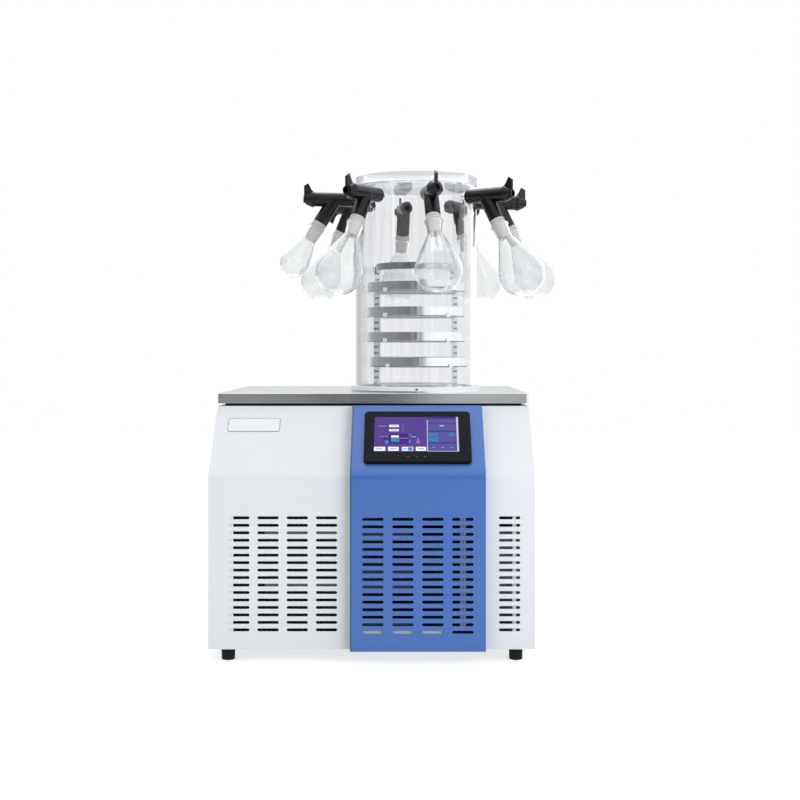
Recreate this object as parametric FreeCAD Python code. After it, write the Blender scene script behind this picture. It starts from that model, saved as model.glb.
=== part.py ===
import FreeCAD, Part
import math
import os

# A benchtop freeze dryer: a sheet-metal cabinet with a cold trap, and on its top plate
# a clear chamber with a tray rack and eight flask valves.
# Sizes are in millimetres. X runs to the right, Y to the back and Z up. The origin is on
# the bench below the middle of the cabinet.

# cabinet shell
CABINET_W = 617.0
CABINET_D = 600.0
LOWER_FRONT_H = 325.5       # upright part of the front, from the base to the fold
SLOPE_RUN = 125.0           # how far the sloping part of the front leans back
SLOPE_RISE = 127.0
SHEET = 1.5                 # painted sheet steel
FRONT_RETURN = 20.0         # sides of the front panel that wrap round the corners
FLANGE = 30.0               # shelf at the top of the shell, folded inwards
FOLD_R = 8.0                # outer bend radius at the fold of the front
SEAM = 0.4                  # gap between neighbouring panels
BASE_LIP = 20.0             # upturned edge of the base pan

# rubber feet
FOOT_R = 13.5
FOOT_TAPER = 1.0
FOOT_H = 26.0
FOOT_INSET = 34.0
FOOT_SCREW_R = 4.0
FOOT_SCREW_DEPTH = 14.0

# top plate of folded stainless steel, on a set-back spacer
PLATE_H = 20.0
PLATE_SHEET = 1.5
PLATE_CORNER_R = 5.0
PLATE_EDGE_R = 1.2
PLATE_RETURN = 32.0
SPACER_H = 5.0
SPACER_W = 12.0
SPACER_INSET = 14.0

# proud panel in the middle of the front
CENTRE_X = 87.0             # middle of that panel and of the chamber
PANEL_W = 254.0
PANEL_PROUD = 20.0
PANEL_LEDGE = 8.0           # reach of its top past the edge of the shell
WINDOW_INSET = 14.0         # opening of the shell behind it, in from its sides
WINDOW_H = 250.0
WINDOW_Z = 56.0

# ventilation slots
SLOT_L = 40.0
SLOT_H = 5.6
SLOT_ROWS = 16
SLOT_PITCH = 14.07
SLOT_FIRST_Z = 62.5
SLOT_COLUMN_PITCH = 55.0
SLOT_COLUMNS_LEFT = 4
SLOT_LEFT_INSET = 45.0      # nearest column to the proud panel
SLOT_RIGHT_INSET = 46.0
PANEL_COLUMNS = 4
PANEL_COLUMN_PITCH = 56.0

# rear vents
VENT_L = 90.0
VENT_H = 8.0
VENT_ROWS = 7
VENT_PITCH = 18.0
VENT_COLUMN_PITCH = 110.0
VENT_COLUMNS = 2
VENT_X = 130.0
VENT_FIRST_Z = 80.0

# touch screen
BEZEL_W = 204.0
BEZEL_L = 127.0
BEZEL_T = 7.0
BEZEL_CORNER_R = 8.0
BEZEL_EDGE_R = 1.5
BEZEL_ALONG = 77.0          # middle of the bezel, up the slope from the fold
SCREEN_W = 162.0
SCREEN_L = 87.0
SCREEN_T = 1.2
SCREEN_SHIFT_X = -2.0
SCREEN_SHIFT_ALONG = 5.0
SCREEN_CLEARANCE = 0.2
HOUSING_W = 184.0
HOUSING_L = 104.0
HOUSING_DEPTH = 34.0
HOUSING_CORNER_R = 1.0
HOUSING_CLEARANCE = 3.0

# blank nameplate
NAMEPLATE_W = 102.0
NAMEPLATE_L = 34.0
NAMEPLATE_T = 0.8
NAMEPLATE_R = 4.0
NAMEPLATE_INSET = 25.5
NAMEPLATE_ALONG = 128.0

# cold trap below the chamber
CHAMBER_Y = 25.0
TRAP_R = 100.0
TRAP_WALL = 1.5
TRAP_DEPTH = 200.0
TRAP_FLANGE_R = 141.0
TRAP_FLANGE_T = 2.0
TRAP_CLEARANCE = 1.5
COIL_TUBE_R = 4.8
COIL_TURNS = 5
COIL_PITCH = 20.0
COIL_FIRST_H = 16.0         # lowest turn above the bottom of the trap
COIL_CLEARANCE = 0.2
INSULATION_T = 28.0
INSULATION_TOP_GAP = 2.0
DRAIN_R = 6.0
DRAIN_WALL = 1.0
DRAIN_DROP = 53.0
DRAIN_BEND_R = 18.0

# vacuum port, a small clamp flange on the rear
PORT_R = 12.5               # bore of the flange's socket
PORT_SOCKET_L = 40.0
PORT_PIPE_R = 11.5          # bore of the pipe beyond the socket
PORT_WALL = 1.5
PORT_FLANGE_R = 20.0
PORT_FLANGE_T = 3.0
PORT_TAPER_T = 2.0
PORT_REACH = 26.0
PORT_Z = 450.0
PORT_CLEARANCE = 1.0

# chamber
CHAMBER_R = 129.5
CHAMBER_WALL = 10.0
CHAMBER_H = 427.5
LID_T = 20.0
LID_EDGE_R = 1.5
LID_STEP_T = 3.0
LID_STEP_CLEARANCE = 0.3
SEAL_R = 139.0
SEAL_INNER_R = 112.5
SEAL_BASE_T = 3.0
SEAL_LIP_H = 8.5
SEAL_CLEARANCE = 0.2
SEAL_EDGE_R = 2.0

# flask valves
VALVE_COUNT = 8
VALVE_FIRST_ANGLE = 9.0     # from the front towards the right
VALVE_DROP = 48.0           # from the top of the lid to the valve axes
VALVE_R = 15.0
VALVE_END_R = 6.0
VALVE_MOUTH_R = 1.0
VALVE_END = 219.0           # outer end of the valve body, from the chamber's axis
VALVE_BORE_R = 4.5
SPIGOT_R = 7.8
SPIGOT_CLEARANCE = 0.2
SPIGOT_REACH = 1.0          # past the inner face of the chamber
BODY_GAP = 0.2
PLUG_R = 10.0
PLUG_FIT = 0.05
PLUG_L = 23.0
PLUG_END_GAP = 0.5
BRANCH_X = 175.0            # where the branch leaves, from the chamber's axis
BRANCH_R = 15.3
BRANCH_L = 59.0
BRANCH_TILT = 28.0
BRANCH_BORE_R = 8.2
BRANCH_BORE_L = 32.0
CAP_GAP = 0.3
CAP_R = 16.5
CAP_L = 18.0
CAP_BAND = 5.0
CAP_EDGE_R = 1.0
CAP_BAND_R = 2.0
CAP_NOSE_EDGE_R = 1.5
CAP_NOSE_R = 10.5
CAP_RING_R = 8.0
CAP_RING_L = 4.0
CAP_HOLE_R = 6.0
CAP_HOLE_DEPTH = 12.0
FLAG_T = 6.0
FLAG_H = 34.0
FLAG_PEAK_X = 12.0          # from the wide end of the cap to the highest point
FLAG_SHOULDER_X = 5.5
FLAG_SHOULDER_H = 21.0
FLAG_END_H = 28.5
FLAG_SETBACK = 1.0
FLAG_ROOT = 1.0             # overlap with the wall of the cap
FLAG_EDGE_R = 1.2

# adaptors and flasks
ADAPTOR_SPIGOT_CLEARANCE = 0.2
ADAPTOR_SPIGOT_L = 28.0
ADAPTOR_R = 14.5
ADAPTOR_COLLAR_L = 10.0
ADAPTOR_GROOVE = 0.7
ADAPTOR_GROOVE_W = 1.4
ADAPTOR_FLANGE_R = 16.6
ADAPTOR_FLANGE_T = 3.0
ADAPTOR_BORE_R = 5.0
ADAPTOR_CLEARANCE = 0.3
NECK_TOP_R = 17.0
NECK_END_R = 14.5
NECK_L = 30.0
GLASS = 2.0
RIM_R = 18.8
RIM_H = 4.0
RIM_SLOPE = 1.0             # from the rim in to the neck
FLASK_BULB_R = 47.0
FLASK_BULB_AT = 113.5       # middle of the bulb below the rim
SMALL_BULB_R = 31.4
SMALL_BULB_AT = 87.0
SMALL_TILT = 32.0
SMALL_FLASK = 7             # the flask on the left side is a small one
TURNED_VALVE = 6            # the valve at the back left has its flag down

# tray rack
POST_X = 88.0
POST_W = 13.0
POST_DEPTH = 9.0
POST_T = 1.2
POST_HOLE = 4.2
POST_HOLE_PITCH = 13.4
POST_HOLE_SPACING = 6.0
POST_HOLE_FIRST = 10.0
RACK_H = 266.5
RACK_SHEET = 1.2
RACK_BASE_H = 12.5
RACK_BAND_H = 14.0
RACK_BAND_LIP = 7.0
RACK_FRONT_R = 87.0
RACK_LEG_ANGLE = 38.0
RACK_LEG_W = 12.0
RACK_LEG_LANDING = 9.0      # past the edge of the well
TRAY_R = 103.5
TRAY_H = 20.0
TRAY_WALL = 1.0
TRAY_COUNT = 4
TRAY_FIRST_H = 48.5         # lowest tray above the flange of the trap
TRAY_PITCH = 52.7
TRAY_LOW_SHIFT = 5.0        # the lowest tray sits a little to the right
TRAY_GAP = 0.3              # between a tray and the posts or stops round it
TRAY_STOP_ANGLE = 38.0
TRAY_STOP_W = 9.0
TRAY_STOP_H = 7.0

# condenser and its fan, behind the left slots
CONDENSER_W = 220.0
CONDENSER_H = 250.0
CONDENSER_T = 44.0
CONDENSER_SIDE_GAP = 27.0   # from the left side panel
CONDENSER_INSET = 34.0      # behind the face of the front
CONDENSER_END_T = 2.0
CONDENSER_FIN_PITCH = 10.0
CONDENSER_FIN_GAP = 8.0
CONDENSER_TUBE_R = 4.8
CONDENSER_TUBES = 5
SHROUD_T = 1.5
SHROUD_R = 102.0
SHROUD_COLLAR_L = 26.0
FAN_R = 97.0
FAN_HUB_R = 24.0
FAN_HUB_L = 20.0
FAN_BLADES = 5
FAN_BLADE_ROOT_R = 19.0
FAN_BLADE_T = 2.0
FAN_BLADE_W = 58.0
FAN_BLADE_PITCH = 24.0
FAN_GAP = 8.0
MOTOR_R = 36.0
MOTOR_L = 56.0
MOTOR_GAP = 4.0
SHAFT_R = 4.0
SHAFT_FIT = 0.05
ARM_W = 12.0
ARM_T = 3.0

# compressor
COMPRESSOR_R = 78.0
COMPRESSOR_H = 176.0
COMPRESSOR_DOME_H = 34.0
COMPRESSOR_SEAM_R = 82.0
COMPRESSOR_SEAM_H = 5.0
COMPRESSOR_SEAM_EDGE_R = 1.0
COMPRESSOR_SEAM_AT = 88.0   # height of the seam above the foot plate
COMPRESSOR_FOOT_R = 17.0
COMPRESSOR_SIDE_GAP = 7.0   # from the control box
COMPRESSOR_Y = 60.0
COMPRESSOR_PLATE_W = 190.0
COMPRESSOR_PLATE_D = 120.0
COMPRESSOR_PLATE_T = 3.0
MOUNT_R = 12.0
MOUNT_H = 14.0
MOUNT_INSET = 15.0
MOUNT_WAIST = 2.0           # depth of the groove round its middle

# control box
CONTROL_W = 55.0
CONTROL_D = 210.0
CONTROL_H = 200.0
CONTROL_INSET = 12.0
CONTROL_Y = -60.0
CONTROL_R = 3.0

# power inlet with its switch, on the rear
INLET_INSET = 88.5
INLET_Z = 110.0
INLET_W = 50.0
INLET_H = 68.0
INLET_T = 3.0
INLET_BODY_W = 30.0
INLET_BODY_H = 58.0
INLET_BODY_DEPTH = 32.0
INLET_CLEARANCE = 0.5
SOCKET_W = 24.0
SOCKET_H = 18.0
SOCKET_DEPTH = 18.0
SOCKET_DROP = 15.0
PIN_W = 2.0
PIN_H = 4.0
PIN_SPACING = 7.0
PIN_END_GAP = 7.0
ROCKER_W = 20.0
ROCKER_H = 14.0
ROCKER_RISE = 15.0          # middle of the switch above the middle of the inlet
ROCKER_DEPTH = 7.0
ROCKER_PEAK = 1.0
ROCKER_CLEARANCE = 1.0
ROCKER_PIN_R = 1.5
ROCKER_PIN_L = 2.0
ROCKER_PIN_FIT = 0.05
ROCKER_TILT = 9.0

# drain valve on the rear
VALVE_NUT_R = 13.0
VALVE_NUT_T = 7.0
DRAIN_BODY_R = 10.0
DRAIN_BODY_L = 34.0
DRAIN_SHANK_R = 8.0
DRAIN_SHANK_L = 12.0
DRAIN_SHANK_CLEARANCE = 0.3
BARB_R = 6.0
BARB_TIP_R = 4.6
BARB_L = 7.0
BARB_COUNT = 3
STEM_R = 3.0
STEM_H = 8.0
STEM_FIT = 0.05
STEM_BOSS_H = 1.0
LEVER_L = 46.0
LEVER_W = 9.0
LEVER_T = 3.0
LEVER_HUB_R = 6.5
LEVER_GAP = 0.3

# places worked out from the sizes above
Z_BASE = FOOT_H
Z_FOLD = Z_BASE + LOWER_FRONT_H
Z_SHELL = Z_FOLD + SLOPE_RISE
Z_PLATE = Z_SHELL + SPACER_H
Z_TOP = Z_PLATE + PLATE_H
Z_FLANGE = Z_TOP + TRAP_FLANGE_T
Z_TUBE = Z_FLANGE + SEAL_BASE_T
Z_LID = Z_TUBE + CHAMBER_H
Z_VALVE = Z_LID + LID_T - VALVE_DROP
Z_TRAP = Z_FLANGE - TRAP_DEPTH
Z_FLOOR = Z_BASE + SHEET
Y_FRONT = -CABINET_D / 2
Y_BACK = CABINET_D / 2
Y_EDGE = Y_FRONT + SLOPE_RUN
X_SIDE = CABINET_W / 2
X_INSIDE = X_SIDE - SHEET
NAMEPLATE_X = -X_SIDE + NAMEPLATE_INSET + NAMEPLATE_W / 2
CONDENSER_X = -X_INSIDE + CONDENSER_SIDE_GAP + CONDENSER_END_T + CONDENSER_W / 2
CONTROL_X = X_INSIDE - CONTROL_INSET - CONTROL_W / 2
COMPRESSOR_X = CONTROL_X - CONTROL_W / 2 - COMPRESSOR_SIDE_GAP - COMPRESSOR_PLATE_W / 2
INLET_X = -X_SIDE + INLET_INSET
SLOPE_ANGLE = math.degrees(math.atan2(SLOPE_RISE, SLOPE_RUN))
CHAMBER_INNER_R = CHAMBER_R - CHAMBER_WALL
BRANCH_TOP = BRANCH_L + ADAPTOR_COLLAR_L + ADAPTOR_FLANGE_T
POST_CORNER_X = POST_X - POST_W / 2 - TRAY_LOW_SHIFT
POST_Y = math.sqrt((TRAY_R + TRAY_GAP) ** 2 - POST_CORNER_X ** 2)   # just clear of the trays

CUT = 5.0                   # how far a cutting shape reaches past what it cuts
PLAY = 0.1                  # tolerance with which edges are picked out by their place


def vec(x, y, z):
    return FreeCAD.Vector(x, y, z)


ORIGIN = vec(0, 0, 0)
AXIS_X = vec(1, 0, 0)
AXIS_Y = vec(0, 1, 0)
AXIS_Z = vec(0, 0, 1)


def block(x0, x1, y0, y1, z0, z1):
    """A box between two corners."""
    return Part.makeBox(x1 - x0, y1 - y0, z1 - z0, vec(x0, y0, z0))


def rod(radius, start, end):
    """A cylinder between the centres of its two ends."""
    return Part.makeCylinder(radius, (end - start).Length, start, end - start)


def outline(corners, radii=None):
    """A closed wire through the corners, each rounded by its own radius, or sharp at 0."""
    count = len(corners)
    radii = radii or [0] * count
    entries, exits, arcs = [], [], []
    for i, corner in enumerate(corners):
        if radii[i] == 0:
            entries.append(corner)
            exits.append(corner)
            arcs.append(None)
            continue
        back = (corners[i - 1] - corner).normalize()
        ahead = (corners[(i + 1) % count] - corner).normalize()
        half = back.getAngle(ahead) / 2
        reach = radii[i] / math.tan(half)
        inward = (back + ahead).normalize()
        middle = corner + inward * (radii[i] / math.sin(half) - radii[i])
        entries.append(corner + back * reach)
        exits.append(corner + ahead * reach)
        arcs.append(Part.Arc(entries[i], middle, exits[i]).toShape())
    edges = []
    for i in range(count):
        if arcs[i]:
            edges.append(arcs[i])
        start, end = exits[i], entries[(i + 1) % count]
        if (end - start).Length > 1e-6:
            edges.append(Part.LineSegment(start, end).toShape())
    return Part.Wire(edges)


def prism(wire, direction):
    return Part.Face(wire).extrude(direction)


def side_prism(points, x0, x1, radii=None):
    """A profile of (y, z) points drawn along X."""
    wire = outline([vec(x0, y, z) for y, z in points], radii)
    return prism(wire, vec(x1 - x0, 0, 0))


def rounded_plate(width, length, thickness, radius):
    """A flat plate round the origin, its lower face at z = 0."""
    w, h = width / 2, length / 2
    corners = [vec(-w, -h, 0), vec(w, -h, 0), vec(w, h, 0), vec(-w, h, 0)]
    return prism(outline(corners, [radius] * 4), vec(0, 0, thickness))


def spun(points, radii=None, centre=ORIGIN):
    """A profile of (radius, height) points turned about an upright axis."""
    wire = outline([vec(r, 0, h) for r, h in points], radii)
    solid = Part.Face(wire).revolve(ORIGIN, AXIS_Z, 360)
    solid.translate(centre)
    return solid


def spun_along_x(points, radii=None):
    """A profile of (distance, radius) points turned about the X axis."""
    wire = outline([vec(d, r, 0) for d, r in points], radii)
    return Part.Face(wire).revolve(ORIGIN, AXIS_X, 360)


def spun_along_y(points, x, z):
    """A profile of (distance, radius) points turned about an axis along Y."""
    wire = outline([vec(x + r, d, z) for d, r in points])
    return Part.Face(wire).revolve(vec(x, 0, z), AXIS_Y, 360)


def edges_where(shape, test):
    return [edge for edge in shape.Edges if test(edge.BoundBox)]


def slot_cutter(length, height, x, z, y0, y1):
    """A round-ended slot, cut along Y."""
    w, h = length / 2, height / 2
    straight = w - h
    low_left, low_right = vec(x - straight, y0, z - h), vec(x + straight, y0, z - h)
    high_right, high_left = vec(x + straight, y0, z + h), vec(x - straight, y0, z + h)
    edges = [
        Part.LineSegment(low_left, low_right).toShape(),
        Part.Arc(low_right, vec(x + w, y0, z), high_right).toShape(),
        Part.LineSegment(high_right, high_left).toShape(),
        Part.Arc(high_left, vec(x - w, y0, z), low_left).toShape(),
    ]
    return prism(Part.Wire(edges), vec(0, y1 - y0, 0))


# ---------------------------------------------------------------- cabinet


def slope_point(along, out):
    """(y, z) of a point up the slope from the fold, and out from its face."""
    angle = math.radians(SLOPE_ANGLE)
    y = Y_FRONT + along * math.cos(angle) - out * math.sin(angle)
    z = Z_FOLD + along * math.sin(angle) + out * math.cos(angle)
    return y, z


def fold_point(out):
    """(y, z) of the fold of a skin that lies out from the face of the front."""
    angle = math.radians(SLOPE_ANGLE)
    return Y_FRONT - out, Z_FOLD + out * math.cos(angle) / (1 + math.sin(angle))


def slope_top(out, z):
    """(y, z) where a skin out from the slope reaches the height z."""
    angle = math.radians(SLOPE_ANGLE)
    along = (z - Z_FOLD - out * math.cos(angle)) / math.sin(angle)
    return slope_point(along, out)


def on_slope(shape, x, along, out):
    """Puts a shape drawn flat round the origin on the slope."""
    y, z = slope_point(along, out)
    placed = shape.copy()
    placed.rotate(ORIGIN, AXIS_X, SLOPE_ANGLE)
    placed.translate(vec(x, y, z))
    return placed


def display_opening(clearance):
    """Cuts the skins of the slope for the housing behind the touch screen."""
    width, length = HOUSING_W + 2 * clearance, HOUSING_L + 2 * clearance
    cutter = rounded_plate(width, length, PANEL_PROUD + 4 * CUT, clearance)
    return on_slope(cutter, CENTRE_X, BEZEL_ALONG, -2 * CUT)


def slot_field(columns, y):
    """The cutters of all rows of slots at the given columns."""
    cutters = []
    for x in columns:
        for row in range(SLOT_ROWS):
            z = SLOT_FIRST_Z + row * SLOT_PITCH
            cutters.append(slot_cutter(SLOT_L, SLOT_H, x, z, y - CUT, y + SHEET + CUT))
    return cutters


def front_panel():
    """One folded sheet across the whole front, with a window behind the proud panel."""
    depth = FRONT_RETURN
    outer = side_prism(
        [(Y_FRONT, Z_BASE), fold_point(0), (Y_EDGE, Z_SHELL), slope_top(-depth, Z_SHELL),
         fold_point(-depth), (Y_FRONT + depth, Z_BASE)],
        -X_SIDE, X_SIDE, [0, FOLD_R, SHEET, 0, 0, 0],
    )
    inner = side_prism(
        [(Y_FRONT + SHEET, Z_BASE - CUT), fold_point(-SHEET), slope_top(-SHEET, Z_SHELL - SHEET),
         (Y_EDGE + 3 * depth, Z_SHELL - SHEET), (Y_EDGE + 3 * depth, Z_BASE - CUT)],
        -X_SIDE + SHEET, X_SIDE - SHEET, [0, FOLD_R - SHEET, 0, 0, 0],
    )
    first = CENTRE_X - PANEL_W / 2 - SLOT_LEFT_INSET
    columns = [first - i * SLOT_COLUMN_PITCH for i in range(SLOT_COLUMNS_LEFT)]
    columns.append(CENTRE_X + PANEL_W / 2 + SLOT_RIGHT_INSET)
    half = PANEL_W / 2 - WINDOW_INSET
    window = block(
        CENTRE_X - half, CENTRE_X + half, Y_FRONT - CUT, Y_FRONT + SHEET + CUT,
        WINDOW_Z, WINDOW_Z + WINDOW_H,
    )
    cutters = slot_field(columns, Y_FRONT) + [window, display_opening(HOUSING_CLEARANCE)]
    return outer.cut(inner).cut(Part.makeCompound(cutters))


def centre_panel():
    """The proud panel: a deep folded cover over the middle of the front."""
    out, inside = PANEL_PROUD, PANEL_PROUD - SHEET
    x0, x1 = CENTRE_X - PANEL_W / 2, CENTRE_X + PANEL_W / 2
    outer = side_prism(
        [(Y_FRONT - out, Z_BASE), fold_point(out), slope_top(out, Z_SHELL + SHEET),
         (Y_EDGE + PANEL_LEDGE, Z_SHELL + SHEET), (Y_EDGE + PANEL_LEDGE, Z_SHELL), (Y_EDGE, Z_SHELL),
         fold_point(0), (Y_FRONT, Z_BASE)],
        x0, x1, [0, FOLD_R + out, SHEET, 0, 0, 0, FOLD_R, 0],
    )
    inner = side_prism(
        [(Y_FRONT - inside, Z_BASE + SHEET), fold_point(inside), slope_top(inside, Z_SHELL),
         (Y_EDGE, Z_SHELL), (Y_EDGE, Z_BASE + SHEET)],
        x0 + SHEET, x1 - SHEET, [0, FOLD_R + inside, 0, 0, 0],
    )
    middle = (PANEL_COLUMNS - 1) / 2
    columns = [CENTRE_X + (i - middle) * PANEL_COLUMN_PITCH for i in range(PANEL_COLUMNS)]
    cutters = slot_field(columns, Y_FRONT - out) + [display_opening(HOUSING_CLEARANCE / 2)]
    return outer.cut(inner).cut(Part.makeCompound(cutters))


def side_panel(side):
    """A flat side that starts behind the return of the front, with a flange along its top."""
    back = FRONT_RETURN + SEAM
    start = slope_top(-back, Z_SHELL)
    outer = side_prism(
        [(Y_FRONT + back, Z_BASE), fold_point(-back), start, (Y_BACK, Z_SHELL), (Y_BACK, Z_BASE)],
        X_SIDE - SHEET, X_SIDE,
    )
    flange = block(
        X_SIDE - FLANGE, X_SIDE - SHEET, start[0], Y_BACK - SHEET - SEAM, Z_SHELL - SHEET, Z_SHELL,
    )
    panel = outer.fuse(flange).removeSplitter()
    if side < 0:
        panel = panel.mirror(ORIGIN, AXIS_X)
    return panel


def rear_panel():
    """A flat sheet between the sides, with vents and the holes of what it carries."""
    x = X_SIDE - SHEET - SEAM / 2
    sheet = block(-x, x, Y_BACK - SHEET, Y_BACK, Z_BASE, Z_SHELL)
    flange = block(
        -X_SIDE + FLANGE + SEAM, X_SIDE - FLANGE - SEAM, Y_BACK - FLANGE, Y_BACK - SHEET,
        Z_SHELL - SHEET, Z_SHELL,
    )
    cutters = []
    for column in range(VENT_COLUMNS):
        for row in range(VENT_ROWS):
            vent_x = VENT_X + (column - (VENT_COLUMNS - 1) / 2) * VENT_COLUMN_PITCH
            vent_z = VENT_FIRST_Z + row * VENT_PITCH
            cutters.append(slot_cutter(VENT_L, VENT_H, vent_x, vent_z, Y_BACK - CUT, Y_BACK + CUT))
    port_hole = PORT_R + PORT_WALL + PORT_CLEARANCE
    cutters.append(rear_rod(port_hole, CENTRE_X, PORT_Z))
    cutters.append(rear_rod(DRAIN_SHANK_R + DRAIN_SHANK_CLEARANCE, CENTRE_X, Z_TRAP - DRAIN_DROP))
    w, h = INLET_BODY_W / 2 + INLET_CLEARANCE, INLET_BODY_H / 2 + INLET_CLEARANCE
    cutters.append(block(INLET_X - w, INLET_X + w, Y_BACK - CUT, Y_BACK + CUT, INLET_Z - h, INLET_Z + h))
    return sheet.fuse(flange).cut(Part.makeCompound(cutters)).removeSplitter()


def rear_rod(radius, x, z):
    return rod(radius, vec(x, Y_BACK - CUT, z), vec(x, Y_BACK + CUT, z))


def base_pan():
    """The floor of the cabinet: a tray with upturned lips inside the panels."""
    x = X_SIDE - SHEET - SEAM
    y0, y1 = Y_FRONT + SHEET + SEAM, Y_BACK - SHEET - SEAM
    outer = block(-x, x, y0, y1, Z_BASE, Z_BASE + BASE_LIP)
    inner = block(-x + SHEET, x - SHEET, y0 + SHEET, y1 - SHEET, Z_FLOOR, Z_BASE + BASE_LIP + CUT)
    return outer.cut(inner)


def feet():
    """Four rubber feet, each with a hole for its screw."""
    profile = [
        (FOOT_SCREW_R, 0), (FOOT_R - FOOT_TAPER, 0), (FOOT_R, FOOT_H), (0, FOOT_H),
        (0, FOOT_SCREW_DEPTH), (FOOT_SCREW_R, FOOT_SCREW_DEPTH),
    ]
    radii = [0, FOOT_TAPER, 0, 0, 0, 0]
    x, y = X_SIDE - FOOT_INSET, Y_BACK - FOOT_INSET
    corners = [(-x, -y), (x, -y), (-x, y), (x, y)]
    return Part.makeCompound([spun(profile, radii, vec(cx, cy, 0)) for cx, cy in corners])


def top_spacer():
    """The dark frame in the gap between the shell and the top plate."""
    x, y0, y1 = X_SIDE - SPACER_INSET, Y_EDGE + SPACER_INSET, Y_BACK - SPACER_INSET
    outer = block(-x, x, y0, y1, Z_SHELL, Z_PLATE)
    inner = block(
        -x + SPACER_W, x - SPACER_W, y0 + SPACER_W, y1 - SPACER_W, Z_SHELL - CUT, Z_PLATE + CUT,
    )
    return outer.cut(inner)


def top_plate():
    """A folded stainless tray, open below, with returns that rest on the spacer."""
    length = Y_BACK - Y_EDGE
    middle = (Y_BACK + Y_EDGE) / 2
    plate = rounded_plate(CABINET_W, length, PLATE_H, PLATE_CORNER_R)
    top_edges = edges_where(plate, lambda box: box.ZMin > PLATE_H - PLAY)
    plate = plate.makeFillet(PLATE_EDGE_R, top_edges)
    hollow = rounded_plate(
        CABINET_W - 2 * PLATE_SHEET, length - 2 * PLATE_SHEET, PLATE_H - 2 * PLATE_SHEET,
        PLATE_CORNER_R - PLATE_SHEET,
    )
    hollow.translate(vec(0, 0, PLATE_SHEET))
    mouth = rounded_plate(
        CABINET_W - 2 * PLATE_RETURN, length - 2 * PLATE_RETURN, PLATE_SHEET + CUT, PLATE_CORNER_R,
    )
    mouth.translate(vec(0, 0, -CUT))
    plate = plate.cut(hollow).cut(mouth)
    plate.translate(vec(0, middle, Z_PLATE))
    hole = rod(TRAP_R + TRAP_WALL + TRAP_CLEARANCE, vec(CENTRE_X, CHAMBER_Y, Z_TOP - PLATE_SHEET - CUT),
               vec(CENTRE_X, CHAMBER_Y, Z_TOP + CUT))
    return plate.cut(hole)


def nameplate():
    plate = rounded_plate(NAMEPLATE_W, NAMEPLATE_L, NAMEPLATE_T, NAMEPLATE_R)
    return on_slope(plate, NAMEPLATE_X, NAMEPLATE_ALONG, 0)


def display_bezel():
    """The black frame of the touch screen with the housing behind it."""
    frame = rounded_plate(BEZEL_W, BEZEL_L, BEZEL_T, BEZEL_CORNER_R)
    front_edges = edges_where(frame, lambda box: box.ZMin > BEZEL_T - PLAY)
    frame = frame.makeFillet(BEZEL_EDGE_R, front_edges)
    housing = rounded_plate(HOUSING_W, HOUSING_L, HOUSING_DEPTH, HOUSING_CORNER_R)
    housing.translate(vec(0, 0, -HOUSING_DEPTH))
    x, y = SCREEN_SHIFT_X, SCREEN_SHIFT_ALONG
    recess = block(
        x - SCREEN_W / 2, x + SCREEN_W / 2, y - SCREEN_L / 2, y + SCREEN_L / 2,
        BEZEL_T - SCREEN_T, BEZEL_T + CUT,
    )
    return on_slope(frame.fuse(housing).cut(recess), CENTRE_X, BEZEL_ALONG, PANEL_PROUD)


def display_screen():
    w, h = SCREEN_W / 2 - SCREEN_CLEARANCE, SCREEN_L / 2 - SCREEN_CLEARANCE
    glass = block(-w, w, -h, h, 0, SCREEN_T)
    glass.translate(vec(SCREEN_SHIFT_X, SCREEN_SHIFT_ALONG, BEZEL_T - SCREEN_T))
    return on_slope(glass, CENTRE_X, BEZEL_ALONG, PANEL_PROUD)


# ---------------------------------------------------------------- inside the cabinet


def cold_trap():
    """The stainless well with its flange and welded drain tube."""
    outer_r = TRAP_R + TRAP_WALL
    well = spun(
        [(0, Z_TRAP), (outer_r, Z_TRAP), (outer_r, Z_TOP), (TRAP_FLANGE_R, Z_TOP),
         (TRAP_FLANGE_R, Z_FLANGE), (TRAP_R, Z_FLANGE), (TRAP_R, Z_TRAP + TRAP_WALL),
         (0, Z_TRAP + TRAP_WALL)],
        None, vec(CENTRE_X, CHAMBER_Y, 0),
    )
    tube = drain_tube(DRAIN_R, Z_TRAP, Y_BACK - DRAIN_SHANK_L / 2)
    bore = drain_tube(DRAIN_R - DRAIN_WALL, Z_TRAP + TRAP_WALL + CUT, Y_BACK + CUT)
    port = rod(PORT_R + PORT_WALL, vec(CENTRE_X, CHAMBER_Y, PORT_Z), vec(CENTRE_X, Y_BACK, PORT_Z))
    return well.fuse(tube).cut(bore).cut(port)


def drain_tube(radius, z_start, y_end):
    """A bent rod from the bottom of the trap down and back to the rear."""
    z_low = Z_TRAP - DRAIN_DROP
    bend = DRAIN_BEND_R
    start = vec(CENTRE_X, CHAMBER_Y, z_start)
    down = vec(CENTRE_X, CHAMBER_Y, z_low + bend)
    back = vec(CENTRE_X, CHAMBER_Y + bend, z_low)
    turn = bend * (1 - math.sqrt(0.5))
    path = Part.Wire([
        Part.LineSegment(start, down).toShape(),
        Part.Arc(down, vec(CENTRE_X, CHAMBER_Y + turn, z_low + turn), back).toShape(),
        Part.LineSegment(back, vec(CENTRE_X, y_end, z_low)).toShape(),
    ])
    ring = Part.Wire([Part.makeCircle(radius, start, AXIS_Z)])
    return path.makePipeShell([ring], True, False)


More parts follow.
